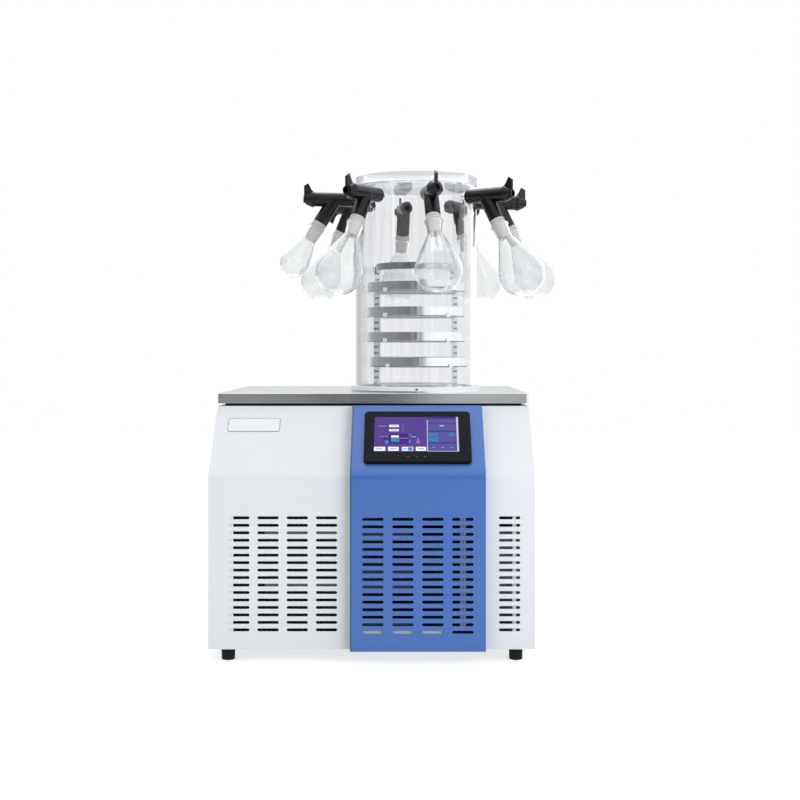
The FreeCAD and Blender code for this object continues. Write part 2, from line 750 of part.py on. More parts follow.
def evaporator_coil():
    """The copper coil wound round the trap."""
    radius = TRAP_R + TRAP_WALL + COIL_CLEARANCE + COIL_TUBE_R
    climb = COIL_PITCH / 2
    bend = math.hypot(radius, climb / 2)
    turns = []
    for i in range(2 * COIL_TURNS):
        half_turn = Part.makeTorus(bend, COIL_TUBE_R, ORIGIN, AXIS_Z, 0, 360, 180)
        half_turn.rotate(ORIGIN, AXIS_Y, math.degrees(math.atan2(climb, 2 * radius)))
        half_turn.rotate(ORIGIN, AXIS_Z, 180 * i)
        half_turn.translate(vec(CENTRE_X, CHAMBER_Y, Z_TRAP + COIL_FIRST_H + (i + 0.5) * climb))
        turns.append(half_turn)
    return turns[0].fuse(turns[1:])


def trap_insulation():
    """The foam cup round the trap and its coil."""
    inner_r = TRAP_R + TRAP_WALL + 2 * (COIL_CLEARANCE + COIL_TUBE_R)
    outer_r = inner_r + INSULATION_T
    z_top = Z_SHELL - SHEET - INSULATION_TOP_GAP
    cup = spun(
        [(0, Z_TRAP - INSULATION_T), (outer_r, Z_TRAP - INSULATION_T), (outer_r, z_top),
         (inner_r, z_top), (inner_r, Z_TRAP), (0, Z_TRAP)],
        None, vec(CENTRE_X, CHAMBER_Y, 0),
    )
    drain = rod(DRAIN_R + COIL_CLEARANCE, vec(CENTRE_X, CHAMBER_Y, Z_TRAP - INSULATION_T - CUT),
                vec(CENTRE_X, CHAMBER_Y, Z_TRAP + CUT))
    port = rod(PORT_R + PORT_WALL + COIL_CLEARANCE, vec(CENTRE_X, CHAMBER_Y, PORT_Z),
               vec(CENTRE_X, Y_BACK, PORT_Z))
    return cup.cut(drain).cut(port)


def vacuum_port():
    """The pipe from the trap to the rear, with a small clamp flange on its end."""
    end = Y_BACK + PORT_REACH
    start = CHAMBER_Y + TRAP_R
    outer = PORT_R + PORT_WALL
    pipe = spun_along_y(
        [(start, PORT_PIPE_R), (start, outer), (end - PORT_FLANGE_T - PORT_TAPER_T, outer),
         (end - PORT_FLANGE_T, PORT_FLANGE_R), (end, PORT_FLANGE_R), (end, PORT_R),
         (end - PORT_SOCKET_L, PORT_R), (end - PORT_SOCKET_L, PORT_PIPE_R)],
        CENTRE_X, PORT_Z,
    )
    well = rod(TRAP_R, vec(CENTRE_X, CHAMBER_Y, Z_TRAP), vec(CENTRE_X, CHAMBER_Y, Z_FLANGE))
    return pipe.cut(well)


def compressor():
    """The hermetic pot, its seam and its foot plate."""
    z0 = Z_FLOOR + MOUNT_H
    z1 = z0 + COMPRESSOR_PLATE_T
    top = z1 + COMPRESSOR_H
    seam = z1 + COMPRESSOR_SEAM_AT
    r = COMPRESSOR_R
    pot = spun(
        [(0, z1), (r, z1), (r, seam), (COMPRESSOR_SEAM_R, seam),
         (COMPRESSOR_SEAM_R, seam + COMPRESSOR_SEAM_H), (r, seam + COMPRESSOR_SEAM_H), (r, top), (0, top)],
        [0, COMPRESSOR_FOOT_R, 0, COMPRESSOR_SEAM_EDGE_R, COMPRESSOR_SEAM_EDGE_R, 0,
         COMPRESSOR_DOME_H, 0],
        vec(COMPRESSOR_X, COMPRESSOR_Y, 0),
    )
    plate = rounded_plate(COMPRESSOR_PLATE_W, COMPRESSOR_PLATE_D, COMPRESSOR_PLATE_T, MOUNT_R)
    plate.translate(vec(COMPRESSOR_X, COMPRESSOR_Y, z0))
    return pot.fuse(plate)


def compressor_mounts():
    """Four rubber bushes between the foot plate and the base pan."""
    x, y = COMPRESSOR_PLATE_W / 2 - MOUNT_INSET, COMPRESSOR_PLATE_D / 2 - MOUNT_INSET
    collar = MOUNT_H / 4
    waist = MOUNT_R - MOUNT_WAIST
    profile = [
        (0, 0), (MOUNT_R, 0), (MOUNT_R, collar), (waist, collar), (waist, MOUNT_H - collar),
        (MOUNT_R, MOUNT_H - collar), (MOUNT_R, MOUNT_H), (0, MOUNT_H),
    ]
    places = [(sx * x, sy * y) for sx in (-1, 1) for sy in (-1, 1)]
    centres = [vec(COMPRESSOR_X + px, COMPRESSOR_Y + py, Z_FLOOR) for px, py in places]
    return Part.makeCompound([spun(profile, None, centre) for centre in centres])


def condenser():
    """A finned block between two end plates, with return bends on its right side."""
    x0, x1 = CONDENSER_X - CONDENSER_W / 2, CONDENSER_X + CONDENSER_W / 2
    y0 = Y_FRONT + CONDENSER_INSET
    y1 = y0 + CONDENSER_T
    z0, z1 = Z_FLOOR, Z_FLOOR + CONDENSER_H
    core = block(x0, x1, y0, y1, z0 + CONDENSER_END_T, z1)
    ends = [
        block(x - CONDENSER_END_T, x, y0 - CONDENSER_END_T, y1, z0, z1)
        for x in (x0, x1 + CONDENSER_END_T)
    ]
    count = int((CONDENSER_W - CONDENSER_FIN_GAP) / CONDENSER_FIN_PITCH)
    first = x0 + (CONDENSER_W - count * CONDENSER_FIN_PITCH) / 2
    groove = CONDENSER_T / 3
    grooves = []
    for i in range(count):
        x = first + i * CONDENSER_FIN_PITCH + (CONDENSER_FIN_PITCH - CONDENSER_FIN_GAP) / 2
        for a, b in ((y0 - CUT, y0 + groove), (y1 - groove, y1 + CUT)):
            grooves.append(block(x, x + CONDENSER_FIN_GAP, a, b, z0 - CUT, z1 + CUT))
    spacing = CONDENSER_H / CONDENSER_TUBES
    bends = []
    for i in range(CONDENSER_TUBES):
        z = z0 + (i + 0.5) * spacing
        centre = vec(x1 + CONDENSER_END_T, y0 + CONDENSER_T / 2, z)
        ring = Part.makeTorus(spacing / 4, CONDENSER_TUBE_R, centre, AXIS_Y)
        half = block(x1 + CONDENSER_END_T, x1 + spacing, y0, y1, z - spacing, z + spacing)
        bends.append(ring.common(half))
    return core.cut(Part.makeCompound(grooves)).fuse(ends + bends)


def fan_centre():
    """(x, y, z) of the middle of the shroud's hole, on the back face of the condenser."""
    y = Y_FRONT + CONDENSER_INSET + CONDENSER_T
    return CONDENSER_X, y, Z_FLOOR + CONDENSER_H / 2


def fan_shroud():
    """The plate and collar round the fan, with a cross of arms that holds the motor."""
    x, y, z = fan_centre()
    plate = block(x - CONDENSER_W / 2, x + CONDENSER_W / 2, y, y + SHROUD_T, Z_FLOOR, Z_FLOOR + CONDENSER_H)
    outer = rod(SHROUD_R + SHROUD_T, vec(x, y, z), vec(x, y + SHROUD_COLLAR_L, z))
    hole = rod(SHROUD_R, vec(x, y - CUT, z), vec(x, y + SHROUD_COLLAR_L + CUT, z))
    arm_y = motor_front()
    reach = SHROUD_R + SHROUD_T
    arms = []
    for angle in (45, 135):
        bar = block(-reach, reach, arm_y, arm_y + ARM_T, -ARM_W / 2, ARM_W / 2)
        for end in (-reach, reach - ARM_T):
            leg = block(end, end + ARM_T, y + SHROUD_COLLAR_L, arm_y + ARM_T, -ARM_W / 2, ARM_W / 2)
            bar = bar.fuse(leg)
        bar.rotate(ORIGIN, AXIS_Y, angle)
        bar.translate(vec(x, 0, z))
        arms.append(bar)
    cross = arms[0].fuse(arms[1])
    centre_hole = rod(SHAFT_R * 2, vec(x, arm_y - CUT, z), vec(x, arm_y + ARM_T + CUT, z))
    return plate.fuse(outer).cut(hole).fuse(cross.cut(centre_hole))


def motor_front():
    """Y of the arms that the motor is screwed to."""
    return fan_centre()[1] + SHROUD_COLLAR_L + FAN_GAP


def fan_motor():
    """The motor behind the arms, with its shaft through them."""
    x, y, z = fan_centre()
    front = motor_front() + ARM_T
    return spun_along_y(
        [(y + MOTOR_GAP, 0), (y + MOTOR_GAP, SHAFT_R), (front, SHAFT_R), (front, MOTOR_R),
         (front + MOTOR_L, MOTOR_R), (front + MOTOR_L, 0)],
        x, z,
    )


def fan_rotor():
    """A hub on the motor's shaft with pitched blades."""
    x, y, z = fan_centre()
    hub_y = y + MOTOR_GAP
    bore = SHAFT_R + SHAFT_FIT
    hub = spun_along_y(
        [(hub_y, bore), (hub_y, FAN_HUB_R), (hub_y + FAN_HUB_L, FAN_HUB_R), (hub_y + FAN_HUB_L, bore)], x, z,
    )
    ring = rod(FAN_R, vec(x, hub_y - FAN_HUB_L, z), vec(x, hub_y + 2 * FAN_HUB_L, z))
    blades = []
    for i in range(FAN_BLADES):
        width = FAN_BLADE_W / 2
        blade = block(FAN_BLADE_ROOT_R, FAN_R + CUT, -FAN_BLADE_T / 2, FAN_BLADE_T / 2, -width, width)
        blade.rotate(ORIGIN, AXIS_X, FAN_BLADE_PITCH)
        blade.translate(vec(0, hub_y + FAN_HUB_L / 2, 0))
        blade.rotate(ORIGIN, AXIS_Y, i * 360 / FAN_BLADES)
        blade.translate(vec(x, 0, z))
        blades.append(blade.common(ring))
    whole = hub.fuse(blades)
    return whole.cut(rod(bore, vec(x, hub_y - CUT, z), vec(x, hub_y + FAN_HUB_L + CUT, z)))


def control_box():
    """The closed box of the electronics, on the base pan at the right side."""
    box = rounded_plate(CONTROL_W, CONTROL_D, CONTROL_H, CONTROL_R)
    box.translate(vec(CONTROL_X, CONTROL_Y, Z_FLOOR))
    return box


# ---------------------------------------------------------------- on the rear


def power_inlet():
    """A mains socket and the frame of its switch, in one moulded body."""
    flange = block(
        INLET_X - INLET_W / 2, INLET_X + INLET_W / 2, Y_BACK, Y_BACK + INLET_T,
        INLET_Z - INLET_H / 2, INLET_Z + INLET_H / 2,
    )
    corners = edges_where(flange, lambda box: box.XLength < PLAY and box.ZLength < PLAY)
    flange = flange.makeFillet(INLET_T, corners)
    w, h = INLET_BODY_W / 2, INLET_BODY_H / 2
    body = block(INLET_X - w, INLET_X + w, Y_BACK - INLET_BODY_DEPTH, Y_BACK, INLET_Z - h, INLET_Z + h)
    face = Y_BACK + INLET_T
    socket_z = INLET_Z - SOCKET_DROP
    socket = block(
        INLET_X - SOCKET_W / 2, INLET_X + SOCKET_W / 2, face - SOCKET_DEPTH, face + CUT,
        socket_z - SOCKET_H / 2, socket_z + SOCKET_H / 2,
    )
    pins = []
    for dx, dz in ((-PIN_SPACING, -PIN_W), (0, PIN_W), (PIN_SPACING, -PIN_W)):
        px, pz = INLET_X + dx, socket_z + dz
        pins.append(block(
            px - PIN_W / 2, px + PIN_W / 2, face - SOCKET_DEPTH, face - PIN_END_GAP,
            pz - PIN_H / 2, pz + PIN_H / 2,
        ))
    rocker_z = INLET_Z + ROCKER_RISE
    rw, rh = ROCKER_W / 2 + ROCKER_CLEARANCE / 2, ROCKER_H / 2 + ROCKER_CLEARANCE
    well = block(
        INLET_X - rw, INLET_X + rw, face - 2 * ROCKER_DEPTH, face + CUT, rocker_z - rh, rocker_z + rh,
    )
    reach = ROCKER_W / 2 + ROCKER_PIN_L + ROCKER_CLEARANCE
    pivot = rod(ROCKER_PIN_R + ROCKER_PIN_FIT, vec(INLET_X - reach, rocker_pivot_y(), rocker_z),
                vec(INLET_X + reach, rocker_pivot_y(), rocker_z))
    return flange.fuse(body).cut(socket).fuse(pins).cut(well).cut(pivot)


def rocker_pivot_y():
    return Y_BACK + INLET_T - ROCKER_DEPTH / 2


def power_rocker():
    """The rocker of the switch, on two pins, tipped to its off side."""
    z = INLET_Z + ROCKER_RISE
    face = Y_BACK + INLET_T
    h = ROCKER_H / 2
    body = side_prism(
        [(face - ROCKER_DEPTH, z - h), (face, z - h), (face + ROCKER_PEAK, z), (face, z + h),
         (face - ROCKER_DEPTH, z + h)],
        INLET_X - ROCKER_W / 2, INLET_X + ROCKER_W / 2,
    )
    reach = ROCKER_W / 2 + ROCKER_PIN_L
    y = rocker_pivot_y()
    pin = rod(ROCKER_PIN_R, vec(INLET_X - reach, y, z), vec(INLET_X + reach, y, z))
    rocker = body.fuse(pin)
    rocker.rotate(vec(INLET_X, y, z), AXIS_X, -ROCKER_TILT)
    return rocker


def drain_valve():
    """The body of the drain valve, its nut against the rear panel and its hose barb."""
    z = Z_TRAP - DRAIN_DROP
    nut, end = Y_BACK + VALVE_NUT_T, Y_BACK + VALVE_NUT_T + DRAIN_BODY_L
    bore = BARB_TIP_R - DRAIN_WALL
    points = [
        (Y_BACK - DRAIN_SHANK_L, bore), (Y_BACK - DRAIN_SHANK_L, DRAIN_SHANK_R), (Y_BACK, DRAIN_SHANK_R),
        (Y_BACK, VALVE_NUT_R), (nut, VALVE_NUT_R), (nut, DRAIN_BODY_R), (end, DRAIN_BODY_R),
        (end, BARB_TIP_R),
    ]
    for i in range(BARB_COUNT):
        points.append((end + i * BARB_L, BARB_R))
        points.append((end + (i + 1) * BARB_L, BARB_TIP_R))
    points.append((end + BARB_COUNT * BARB_L, bore))
    body = spun_along_y(points, CENTRE_X, z)
    socket = rod(DRAIN_R + PLUG_FIT, vec(CENTRE_X, Y_BACK - DRAIN_SHANK_L - CUT, z),
                 vec(CENTRE_X, Y_BACK - DRAIN_SHANK_L / 2, z))
    stem = rod(STEM_R, vec(CENTRE_X, drain_stem_y(), z + DRAIN_BODY_R / 2),
               vec(CENTRE_X, drain_stem_y(), z + DRAIN_BODY_R + STEM_H))
    boss = rod(2 * STEM_R, vec(CENTRE_X, drain_stem_y(), z + DRAIN_BODY_R / 2),
               vec(CENTRE_X, drain_stem_y(), z + DRAIN_BODY_R + STEM_BOSS_H))
    return body.cut(socket).fuse([stem, boss])


def drain_stem_y():
    return Y_BACK + VALVE_NUT_T + DRAIN_BODY_L / 2


def drain_lever():
    """The lever on the valve's stem, across the pipe when the valve is shut."""
    z = Z_TRAP - DRAIN_DROP + DRAIN_BODY_R + STEM_BOSS_H + LEVER_GAP
    y = drain_stem_y()
    hub = rod(LEVER_HUB_R, vec(CENTRE_X, y, z), vec(CENTRE_X, y, z + LEVER_T))
    arm = block(CENTRE_X, CENTRE_X + LEVER_L, y - LEVER_W / 2, y + LEVER_W / 2, z, z + LEVER_T)
    ends = edges_where(arm, lambda box: box.XMin > CENTRE_X and max(box.XLength, box.YLength) < PLAY)
    arm = arm.makeFillet(LEVER_W / 2 - PLAY, ends)
    hole = rod(STEM_R + STEM_FIT, vec(CENTRE_X, y, z - CUT), vec(CENTRE_X, y, z + LEVER_T + CUT))
    return hub.fuse(arm).cut(hole)


# ---------------------------------------------------------------- chamber


def chamber_seal():
    """The rubber ring that the chamber stands in."""
    lip = CHAMBER_R + SEAL_CLEARANCE
    return spun(
        [(SEAL_INNER_R, Z_FLANGE), (SEAL_R, Z_FLANGE), (SEAL_R, Z_FLANGE + SEAL_LIP_H),
         (lip, Z_FLANGE + SEAL_LIP_H), (lip, Z_TUBE), (SEAL_INNER_R, Z_TUBE)],
        [0, 0, SEAL_EDGE_R, 0, 0, 0], vec(CENTRE_X, CHAMBER_Y, 0),
    )


def chamber_tube():
    """The clear tube with a hole for each valve."""
    tube = spun(
        [(CHAMBER_INNER_R, Z_TUBE), (CHAMBER_R, Z_TUBE), (CHAMBER_R, Z_LID), (CHAMBER_INNER_R, Z_LID)],
        None, vec(CENTRE_X, CHAMBER_Y, 0),
    )
    hole = rod(SPIGOT_R + SPIGOT_CLEARANCE, vec(CHAMBER_INNER_R - CUT, 0, 0), vec(CHAMBER_R + CUT, 0, 0))
    holes = [at_station(hole, i) for i in range(VALVE_COUNT)]
    return tube.cut(Part.makeCompound(holes))


def chamber_lid():
    """The clear lid, with a shallow step that centres it in the tube."""
    step = CHAMBER_INNER_R - LID_STEP_CLEARANCE
    return spun(
        [(0, Z_LID - LID_STEP_T), (step, Z_LID - LID_STEP_T), (step, Z_LID), (CHAMBER_R, Z_LID),
         (CHAMBER_R, Z_LID + LID_T), (0, Z_LID + LID_T)],
        [0, 0, 0, 0, LID_EDGE_R, 0], vec(CENTRE_X, CHAMBER_Y, 0),
    )


def rack_plate(radius, z0, z1):
    """A plate with a round front and straight sides that run back to the posts."""
    back = POST_Y
    edges = [
        Part.LineSegment(vec(-radius, back, z0), vec(-radius, 0, z0)).toShape(),
        Part.Arc(vec(-radius, 0, z0), vec(0, -radius, z0), vec(radius, 0, z0)).toShape(),
        Part.LineSegment(vec(radius, 0, z0), vec(radius, back, z0)).toShape(),
        Part.LineSegment(vec(radius, back, z0), vec(-radius, back, z0)).toShape(),
    ]
    return prism(Part.Wire(edges), vec(0, 0, z1 - z0))


def rack_post(side):
    """An angle strip punched with pairs of square holes."""
    x0, x1 = POST_X - POST_W / 2, POST_X + POST_W / 2
    y0 = POST_Y
    web = block(x0, x1, y0, y0 + POST_T, SEAL_BASE_T, RACK_H)
    leg = block(x0, x0 + POST_T, y0, y0 + POST_DEPTH, SEAL_BASE_T, RACK_H)
    holes = []
    count = int((RACK_H - 2 * POST_HOLE_FIRST) / POST_HOLE_PITCH) + 1
    half = POST_HOLE / 2
    for i in range(count):
        z = POST_HOLE_FIRST + i * POST_HOLE_PITCH
        for x in (POST_X - POST_HOLE_SPACING / 2 + POST_T / 2, POST_X + POST_HOLE_SPACING / 2):
            holes.append(block(x - half, x + half, y0 - CUT, y0 + POST_T + CUT, z - half, z + half))
    post = web.fuse(leg).cut(Part.makeCompound(holes)).removeSplitter()
    if side < 0:
        post = post.mirror(ORIGIN, AXIS_X)
    return post


def turned(shape, angle):
    copy = shape.copy()
    copy.rotate(ORIGIN, AXIS_Z, angle)
    return copy


def rack_frame():
    """The tray rack: two posts, a base, a shelf for each tray and a channel round the top."""
    base_z = RACK_BASE_H
    parts = [rack_post(-1), rack_plate(RACK_FRONT_R, base_z - RACK_SHEET, base_z)]
    parts.append(foot_leg(-RACK_LEG_ANGLE))
    parts.append(foot_leg(RACK_LEG_ANGLE))
    for i in range(TRAY_COUNT):
        z = TRAY_FIRST_H + i * TRAY_PITCH
        shift = TRAY_LOW_SHIFT if i == 0 else 0
        parts.append(rack_plate(RACK_FRONT_R, z - RACK_SHEET, z))
        parts.append(tray_stop(-TRAY_STOP_ANGLE, z, shift))
        parts.append(tray_stop(TRAY_STOP_ANGLE, z, shift))
    top = RACK_H
    low = top - RACK_BAND_H
    band = rack_plate(RACK_FRONT_R, low, top)
    web = rack_plate(RACK_FRONT_R - RACK_SHEET, low + RACK_SHEET, top - RACK_SHEET)
    mouth = rack_plate(RACK_FRONT_R - RACK_BAND_LIP, low - CUT, top + CUT)
    parts.append(band.cut(web).cut(mouth))
    rack = rack_post(1).fuse(parts).removeSplitter()
    rack.translate(vec(CENTRE_X, CHAMBER_Y, Z_FLANGE))
    return rack


def foot_leg(angle):
    """A strip from the base plate out over the flange and down to it."""
    reach = TRAP_R + RACK_LEG_LANDING
    w = RACK_LEG_W / 2
    strip = block(-w, w, -reach, -RACK_FRONT_R + CUT * 2, RACK_BASE_H - RACK_SHEET, RACK_BASE_H)
    drop = block(-w, w, -reach, -reach + RACK_SHEET, 0, RACK_BASE_H)
    return turned(strip.fuse(drop), angle)


def tray_stop(angle, z, shift):
    """A tab that reaches out under the tray and turns up in front of its wall."""
    reach = TRAY_R + TRAY_GAP
    w = TRAY_STOP_W / 2
    strip = block(-w, w, -reach - RACK_SHEET, -RACK_FRONT_R + CUT * 2, z - RACK_SHEET, z)
    lip = block(-w, w, -reach - RACK_SHEET, -reach, z - RACK_SHEET, z + TRAY_STOP_H)
    tab = turned(strip.fuse(lip), angle)
    tab.translate(vec(shift, 0, 0))
    return tab


def tray(index):
    """A round tray turned from sheet."""
    z = Z_FLANGE + TRAY_FIRST_H + index * TRAY_PITCH
    shift = TRAY_LOW_SHIFT if index == 0 else 0
    return spun(
        [(0, 0), (TRAY_R, 0), (TRAY_R, TRAY_H), (TRAY_R - TRAY_WALL, TRAY_H),
         (TRAY_R - TRAY_WALL, TRAY_WALL), (0, TRAY_WALL)],
        [0, 2 * TRAY_WALL, 0, 0, TRAY_WALL, 0], vec(CENTRE_X + shift, CHAMBER_Y, z),
    )


# ---------------------------------------------------------------- valves and flasks


def at_station(shape, index):
    """Turns a shape, drawn outwards along X from the chamber's axis, to its valve's place."""
    angle = VALVE_FIRST_ANGLE + index * 360 / VALVE_COUNT - 90
    placed = turned(shape, angle)
    placed.translate(vec(CENTRE_X, CHAMBER_Y, Z_VALVE))
    return placed


def station_tilt(index):
    return SMALL_TILT if index + 1 == SMALL_FLASK else BRANCH_TILT


def on_branch(shape, tilt):
    """Turns a shape, drawn up Z, so that it runs down the branch from the valve's axis."""
    placed = shape.copy()
    placed.rotate(ORIGIN, AXIS_Y, 180 - tilt)
    placed.translate(vec(BRANCH_X, 0, 0))
    return placed


def valve_body(index):
    """A moulded rubber tee: a barrel through the chamber's wall and a tilted branch."""
    face = CHAMBER_R + BODY_GAP
    inner_end = CHAMBER_INNER_R - SPIGOT_REACH
    barrel = spun_along_x(
        [(inner_end, 0), (inner_end, SPIGOT_R), (face, SPIGOT_R), (face, VALVE_R), (VALVE_END, VALVE_R),
         (VALVE_END, 0)],
        [0, 0, 0, VALVE_END_R, VALVE_MOUTH_R, 0],
    )
    tilt = station_tilt(index)
    branch = on_branch(rod(BRANCH_R, ORIGIN, vec(0, 0, BRANCH_L)), tilt)
    socket = rod(BRANCH_BORE_R, vec(0, 0, BRANCH_L - BRANCH_BORE_L), vec(0, 0, BRANCH_L + CUT))
    passage = rod(VALVE_BORE_R, ORIGIN, vec(0, 0, BRANCH_L))
    bore_end = VALVE_END - PLUG_L - PLUG_END_GAP
    bore = rod(VALVE_BORE_R, vec(inner_end - CUT, 0, 0), vec(bore_end + PLUG_END_GAP, 0, 0))
    seat = rod(PLUG_R + PLUG_FIT, vec(bore_end, 0, 0), vec(VALVE_END + CUT, 0, 0))
    body = barrel.fuse(branch)
    body = body.cut(Part.makeCompound([bore])).cut(seat)
    body = body.cut(on_branch(passage, tilt)).cut(on_branch(socket, tilt))
    return at_station(body, index)


def valve_knob(index):
    """A plug that turns in the barrel, with a blind-bored cap and a flag to turn it by."""
    start = VALVE_END + CAP_GAP
    nose = start + CAP_L
    end = nose + CAP_RING_L
    cap = spun_along_x(
        [(VALVE_END - PLUG_L, 0), (VALVE_END - PLUG_L, PLUG_R), (start, PLUG_R), (start, CAP_R),
         (start + CAP_BAND, CAP_R), (nose, CAP_NOSE_R), (nose, CAP_RING_R), (end, CAP_RING_R),
         (end, CAP_HOLE_R), (end - CAP_HOLE_DEPTH, CAP_HOLE_R), (end - CAP_HOLE_DEPTH, 0)],
        [0, 0, 0, CAP_EDGE_R, CAP_BAND_R, CAP_NOSE_EDGE_R, 0, 0, 0, 0, 0],
    )
    root = CAP_HOLE_R + FLAG_ROOT
    flag_points = [
        (start + FLAG_SETBACK, root), (start + FLAG_SETBACK, CAP_R),
        (start + FLAG_SHOULDER_X, FLAG_SHOULDER_H), (start + FLAG_PEAK_X, FLAG_H),
        (end - FLAG_SETBACK, FLAG_END_H), (end - FLAG_SETBACK, root),
    ]
    wire = outline([vec(x, -FLAG_T / 2, z) for x, z in flag_points])
    flag = prism(wire, vec(0, FLAG_T, 0))
    broad = edges_where(flag, lambda box: box.YLength < PLAY and box.ZMax > CAP_R + PLAY)
    flag = flag.makeFillet(FLAG_EDGE_R, broad)
    knob = cap.fuse(flag)
    if index + 1 == TURNED_VALVE:
        knob.rotate(ORIGIN, AXIS_X, 180)
    return at_station(knob, index)


def adaptor(index):
    """A soft plug between the branch and the neck of the flask."""
    flange = BRANCH_L + ADAPTOR_COLLAR_L
    tip = BRANCH_TOP + NECK_L
    wall = GLASS + ADAPTOR_CLEARANCE
    groove = BRANCH_L + ADAPTOR_COLLAR_L / 2
    spigot = BRANCH_BORE_R - ADAPTOR_SPIGOT_CLEARANCE
    plug = spun([
        (ADAPTOR_BORE_R, BRANCH_L - ADAPTOR_SPIGOT_L), (spigot, BRANCH_L - ADAPTOR_SPIGOT_L),
        (spigot, BRANCH_L), (ADAPTOR_R, BRANCH_L), (ADAPTOR_R, groove),
        (ADAPTOR_R - ADAPTOR_GROOVE, groove), (ADAPTOR_R - ADAPTOR_GROOVE, groove + ADAPTOR_GROOVE_W),
        (ADAPTOR_R, groove + ADAPTOR_GROOVE_W), (ADAPTOR_R, flange), (ADAPTOR_FLANGE_R, flange),
        (ADAPTOR_FLANGE_R, BRANCH_TOP), (NECK_TOP_R - wall, BRANCH_TOP), (NECK_END_R - wall, tip),
        (ADAPTOR_BORE_R, tip),
    ])
    return at_station(on_branch(plug, station_tilt(index)), index)


def bulb_outline(neck_r, bulb_r, bulb_at):
    """The straight flank from the end of the neck, and the arc from there to the tip."""
    rise = bulb_at - NECK_L
    distance = math.hypot(rise, neck_r)
    lean = math.asin(bulb_r / distance) - math.atan2(neck_r, rise)
    flank = math.sqrt(distance ** 2 - bulb_r ** 2)
    touch = (neck_r + flank * math.sin(lean), NECK_L + flank * math.cos(lean))
    start = math.atan2(touch[1] - bulb_at, touch[0])
    half = (start + math.pi / 2) / 2
    middle = (bulb_r * math.cos(half), bulb_at + bulb_r * math.sin(half))
    tip = (0, bulb_at + bulb_r)
    return touch, middle, tip


def flask(index):
    """A blown pear-shaped flask with a rim, hung from its adaptor."""
    small = index + 1 == SMALL_FLASK
    bulb_r = SMALL_BULB_R if small else FLASK_BULB_R
    bulb_at = SMALL_BULB_AT if small else FLASK_BULB_AT
    outside = bulb_outline(NECK_END_R, bulb_r, bulb_at)
    inside = bulb_outline(NECK_END_R - GLASS, bulb_r - GLASS, bulb_at)
    outer_line = [(NECK_TOP_R - GLASS, 0), (RIM_R, 0), (RIM_R, RIM_H), (NECK_TOP_R, RIM_H + RIM_SLOPE),
                  (NECK_END_R, NECK_L), outside[0]]
    inner_line = [inside[0], (NECK_END_R - GLASS, NECK_L), (NECK_TOP_R - GLASS, 0)]
    edges = lines(outer_line) + [arc(*outside)] + lines([outside[2], inside[2]])
    edges += [arc(inside[2], inside[1], inside[0])] + lines(inner_line)
    profile = Part.Face(Part.Wire(edges))
    glass = profile.revolve(ORIGIN, AXIS_Z, 360)
    glass.translate(vec(0, 0, BRANCH_TOP))
    return at_station(on_branch(glass, station_tilt(index)), index)


def lines(points):
    return [
        Part.LineSegment(vec(a[0], 0, a[1]), vec(b[0], 0, b[1])).toShape()
        for a, b in zip(points, points[1:])
    ]


def arc(start, middle, end):
    return Part.Arc(*[vec(r, 0, h) for r, h in (start, middle, end)]).toShape()


# ---------------------------------------------------------------- files


def pieces():
    """Every node's name with its shape."""
    nodes = {
        "base_pan": base_pan(),
        "front_panel": front_panel(),
        "centre_panel": centre_panel(),
        "side_panel_left": side_panel(-1),
        "side_panel_right": side_panel(1),
        "rear_panel": rear_panel(),
        "feet": feet(),
        "top_spacer": top_spacer(),
        "top_plate": top_plate(),
        "nameplate": nameplate(),
        "display_bezel": display_bezel(),
        "display_screen": display_screen(),
        "cold_trap": cold_trap(),
        "evaporator_coil": evaporator_coil(),
        "trap_insulation": trap_insulation(),
        "vacuum_port": vacuum_port(),
        "compressor": compressor(),
        "compressor_mounts": compressor_mounts(),
        "condenser": condenser(),
        "fan_shroud": fan_shroud(),
        "fan_motor": fan_motor(),
        "fan_rotor": fan_rotor(),
        "control_box": control_box(),
        "power_inlet": power_inlet(),
        "power_rocker": power_rocker(),
        "drain_valve": drain_valve(),
        "drain_lever": drain_lever(),
        "chamber_seal": chamber_seal(),
        "chamber_tube": chamber_tube(),
        "chamber_lid": chamber_lid(),
        "rack_frame": rack_frame(),
    }
    for i in range(TRAY_COUNT):
        nodes[f"tray_{i + 1}"] = tray(i)
    for i in range(VALVE_COUNT):
        nodes[f"valve_body_{i + 1}"] = valve_body(i)
        nodes[f"valve_knob_{i + 1}"] = valve_knob(i)
        nodes[f"flask_{i + 1}"] = flask(i)
    nodes["flask_adaptors"] = Part.makeCompound([adaptor(i) for i in range(VALVE_COUNT)])
    return nodes


def main():
    os.makedirs("parts", exist_ok=True)
    for name, shape in pieces().items():
        shape.exportStep(f"parts/{name}.step")
        box = shape.BoundBox
        print(
            f"{name}: {len(shape.Solids)} solid(s), valid {shape.isValid()}, volume {shape.Volume:.0f}, "
            f"x {box.XMin:.1f} {box.XMax:.1f}, y {box.YMin:.1f} {box.YMax:.1f}, "
            f"z {box.ZMin:.1f} {box.ZMax:.1f}"
        )


main()
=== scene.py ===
# %% [markdown]
# # A benchtop freeze dryer
# The machine is a painted steel cabinet with a cold trap inside. On its steel top plate
# stands a clear chamber with a rack of trays, and round the chamber's rim eight black
# valves carry glass flasks. The solids come ready made from the frame, in metres and in
# their places. This lesson gives them their finishes, remakes the glass with smooth
# walls, and adds the small things that are too fine for the solids.

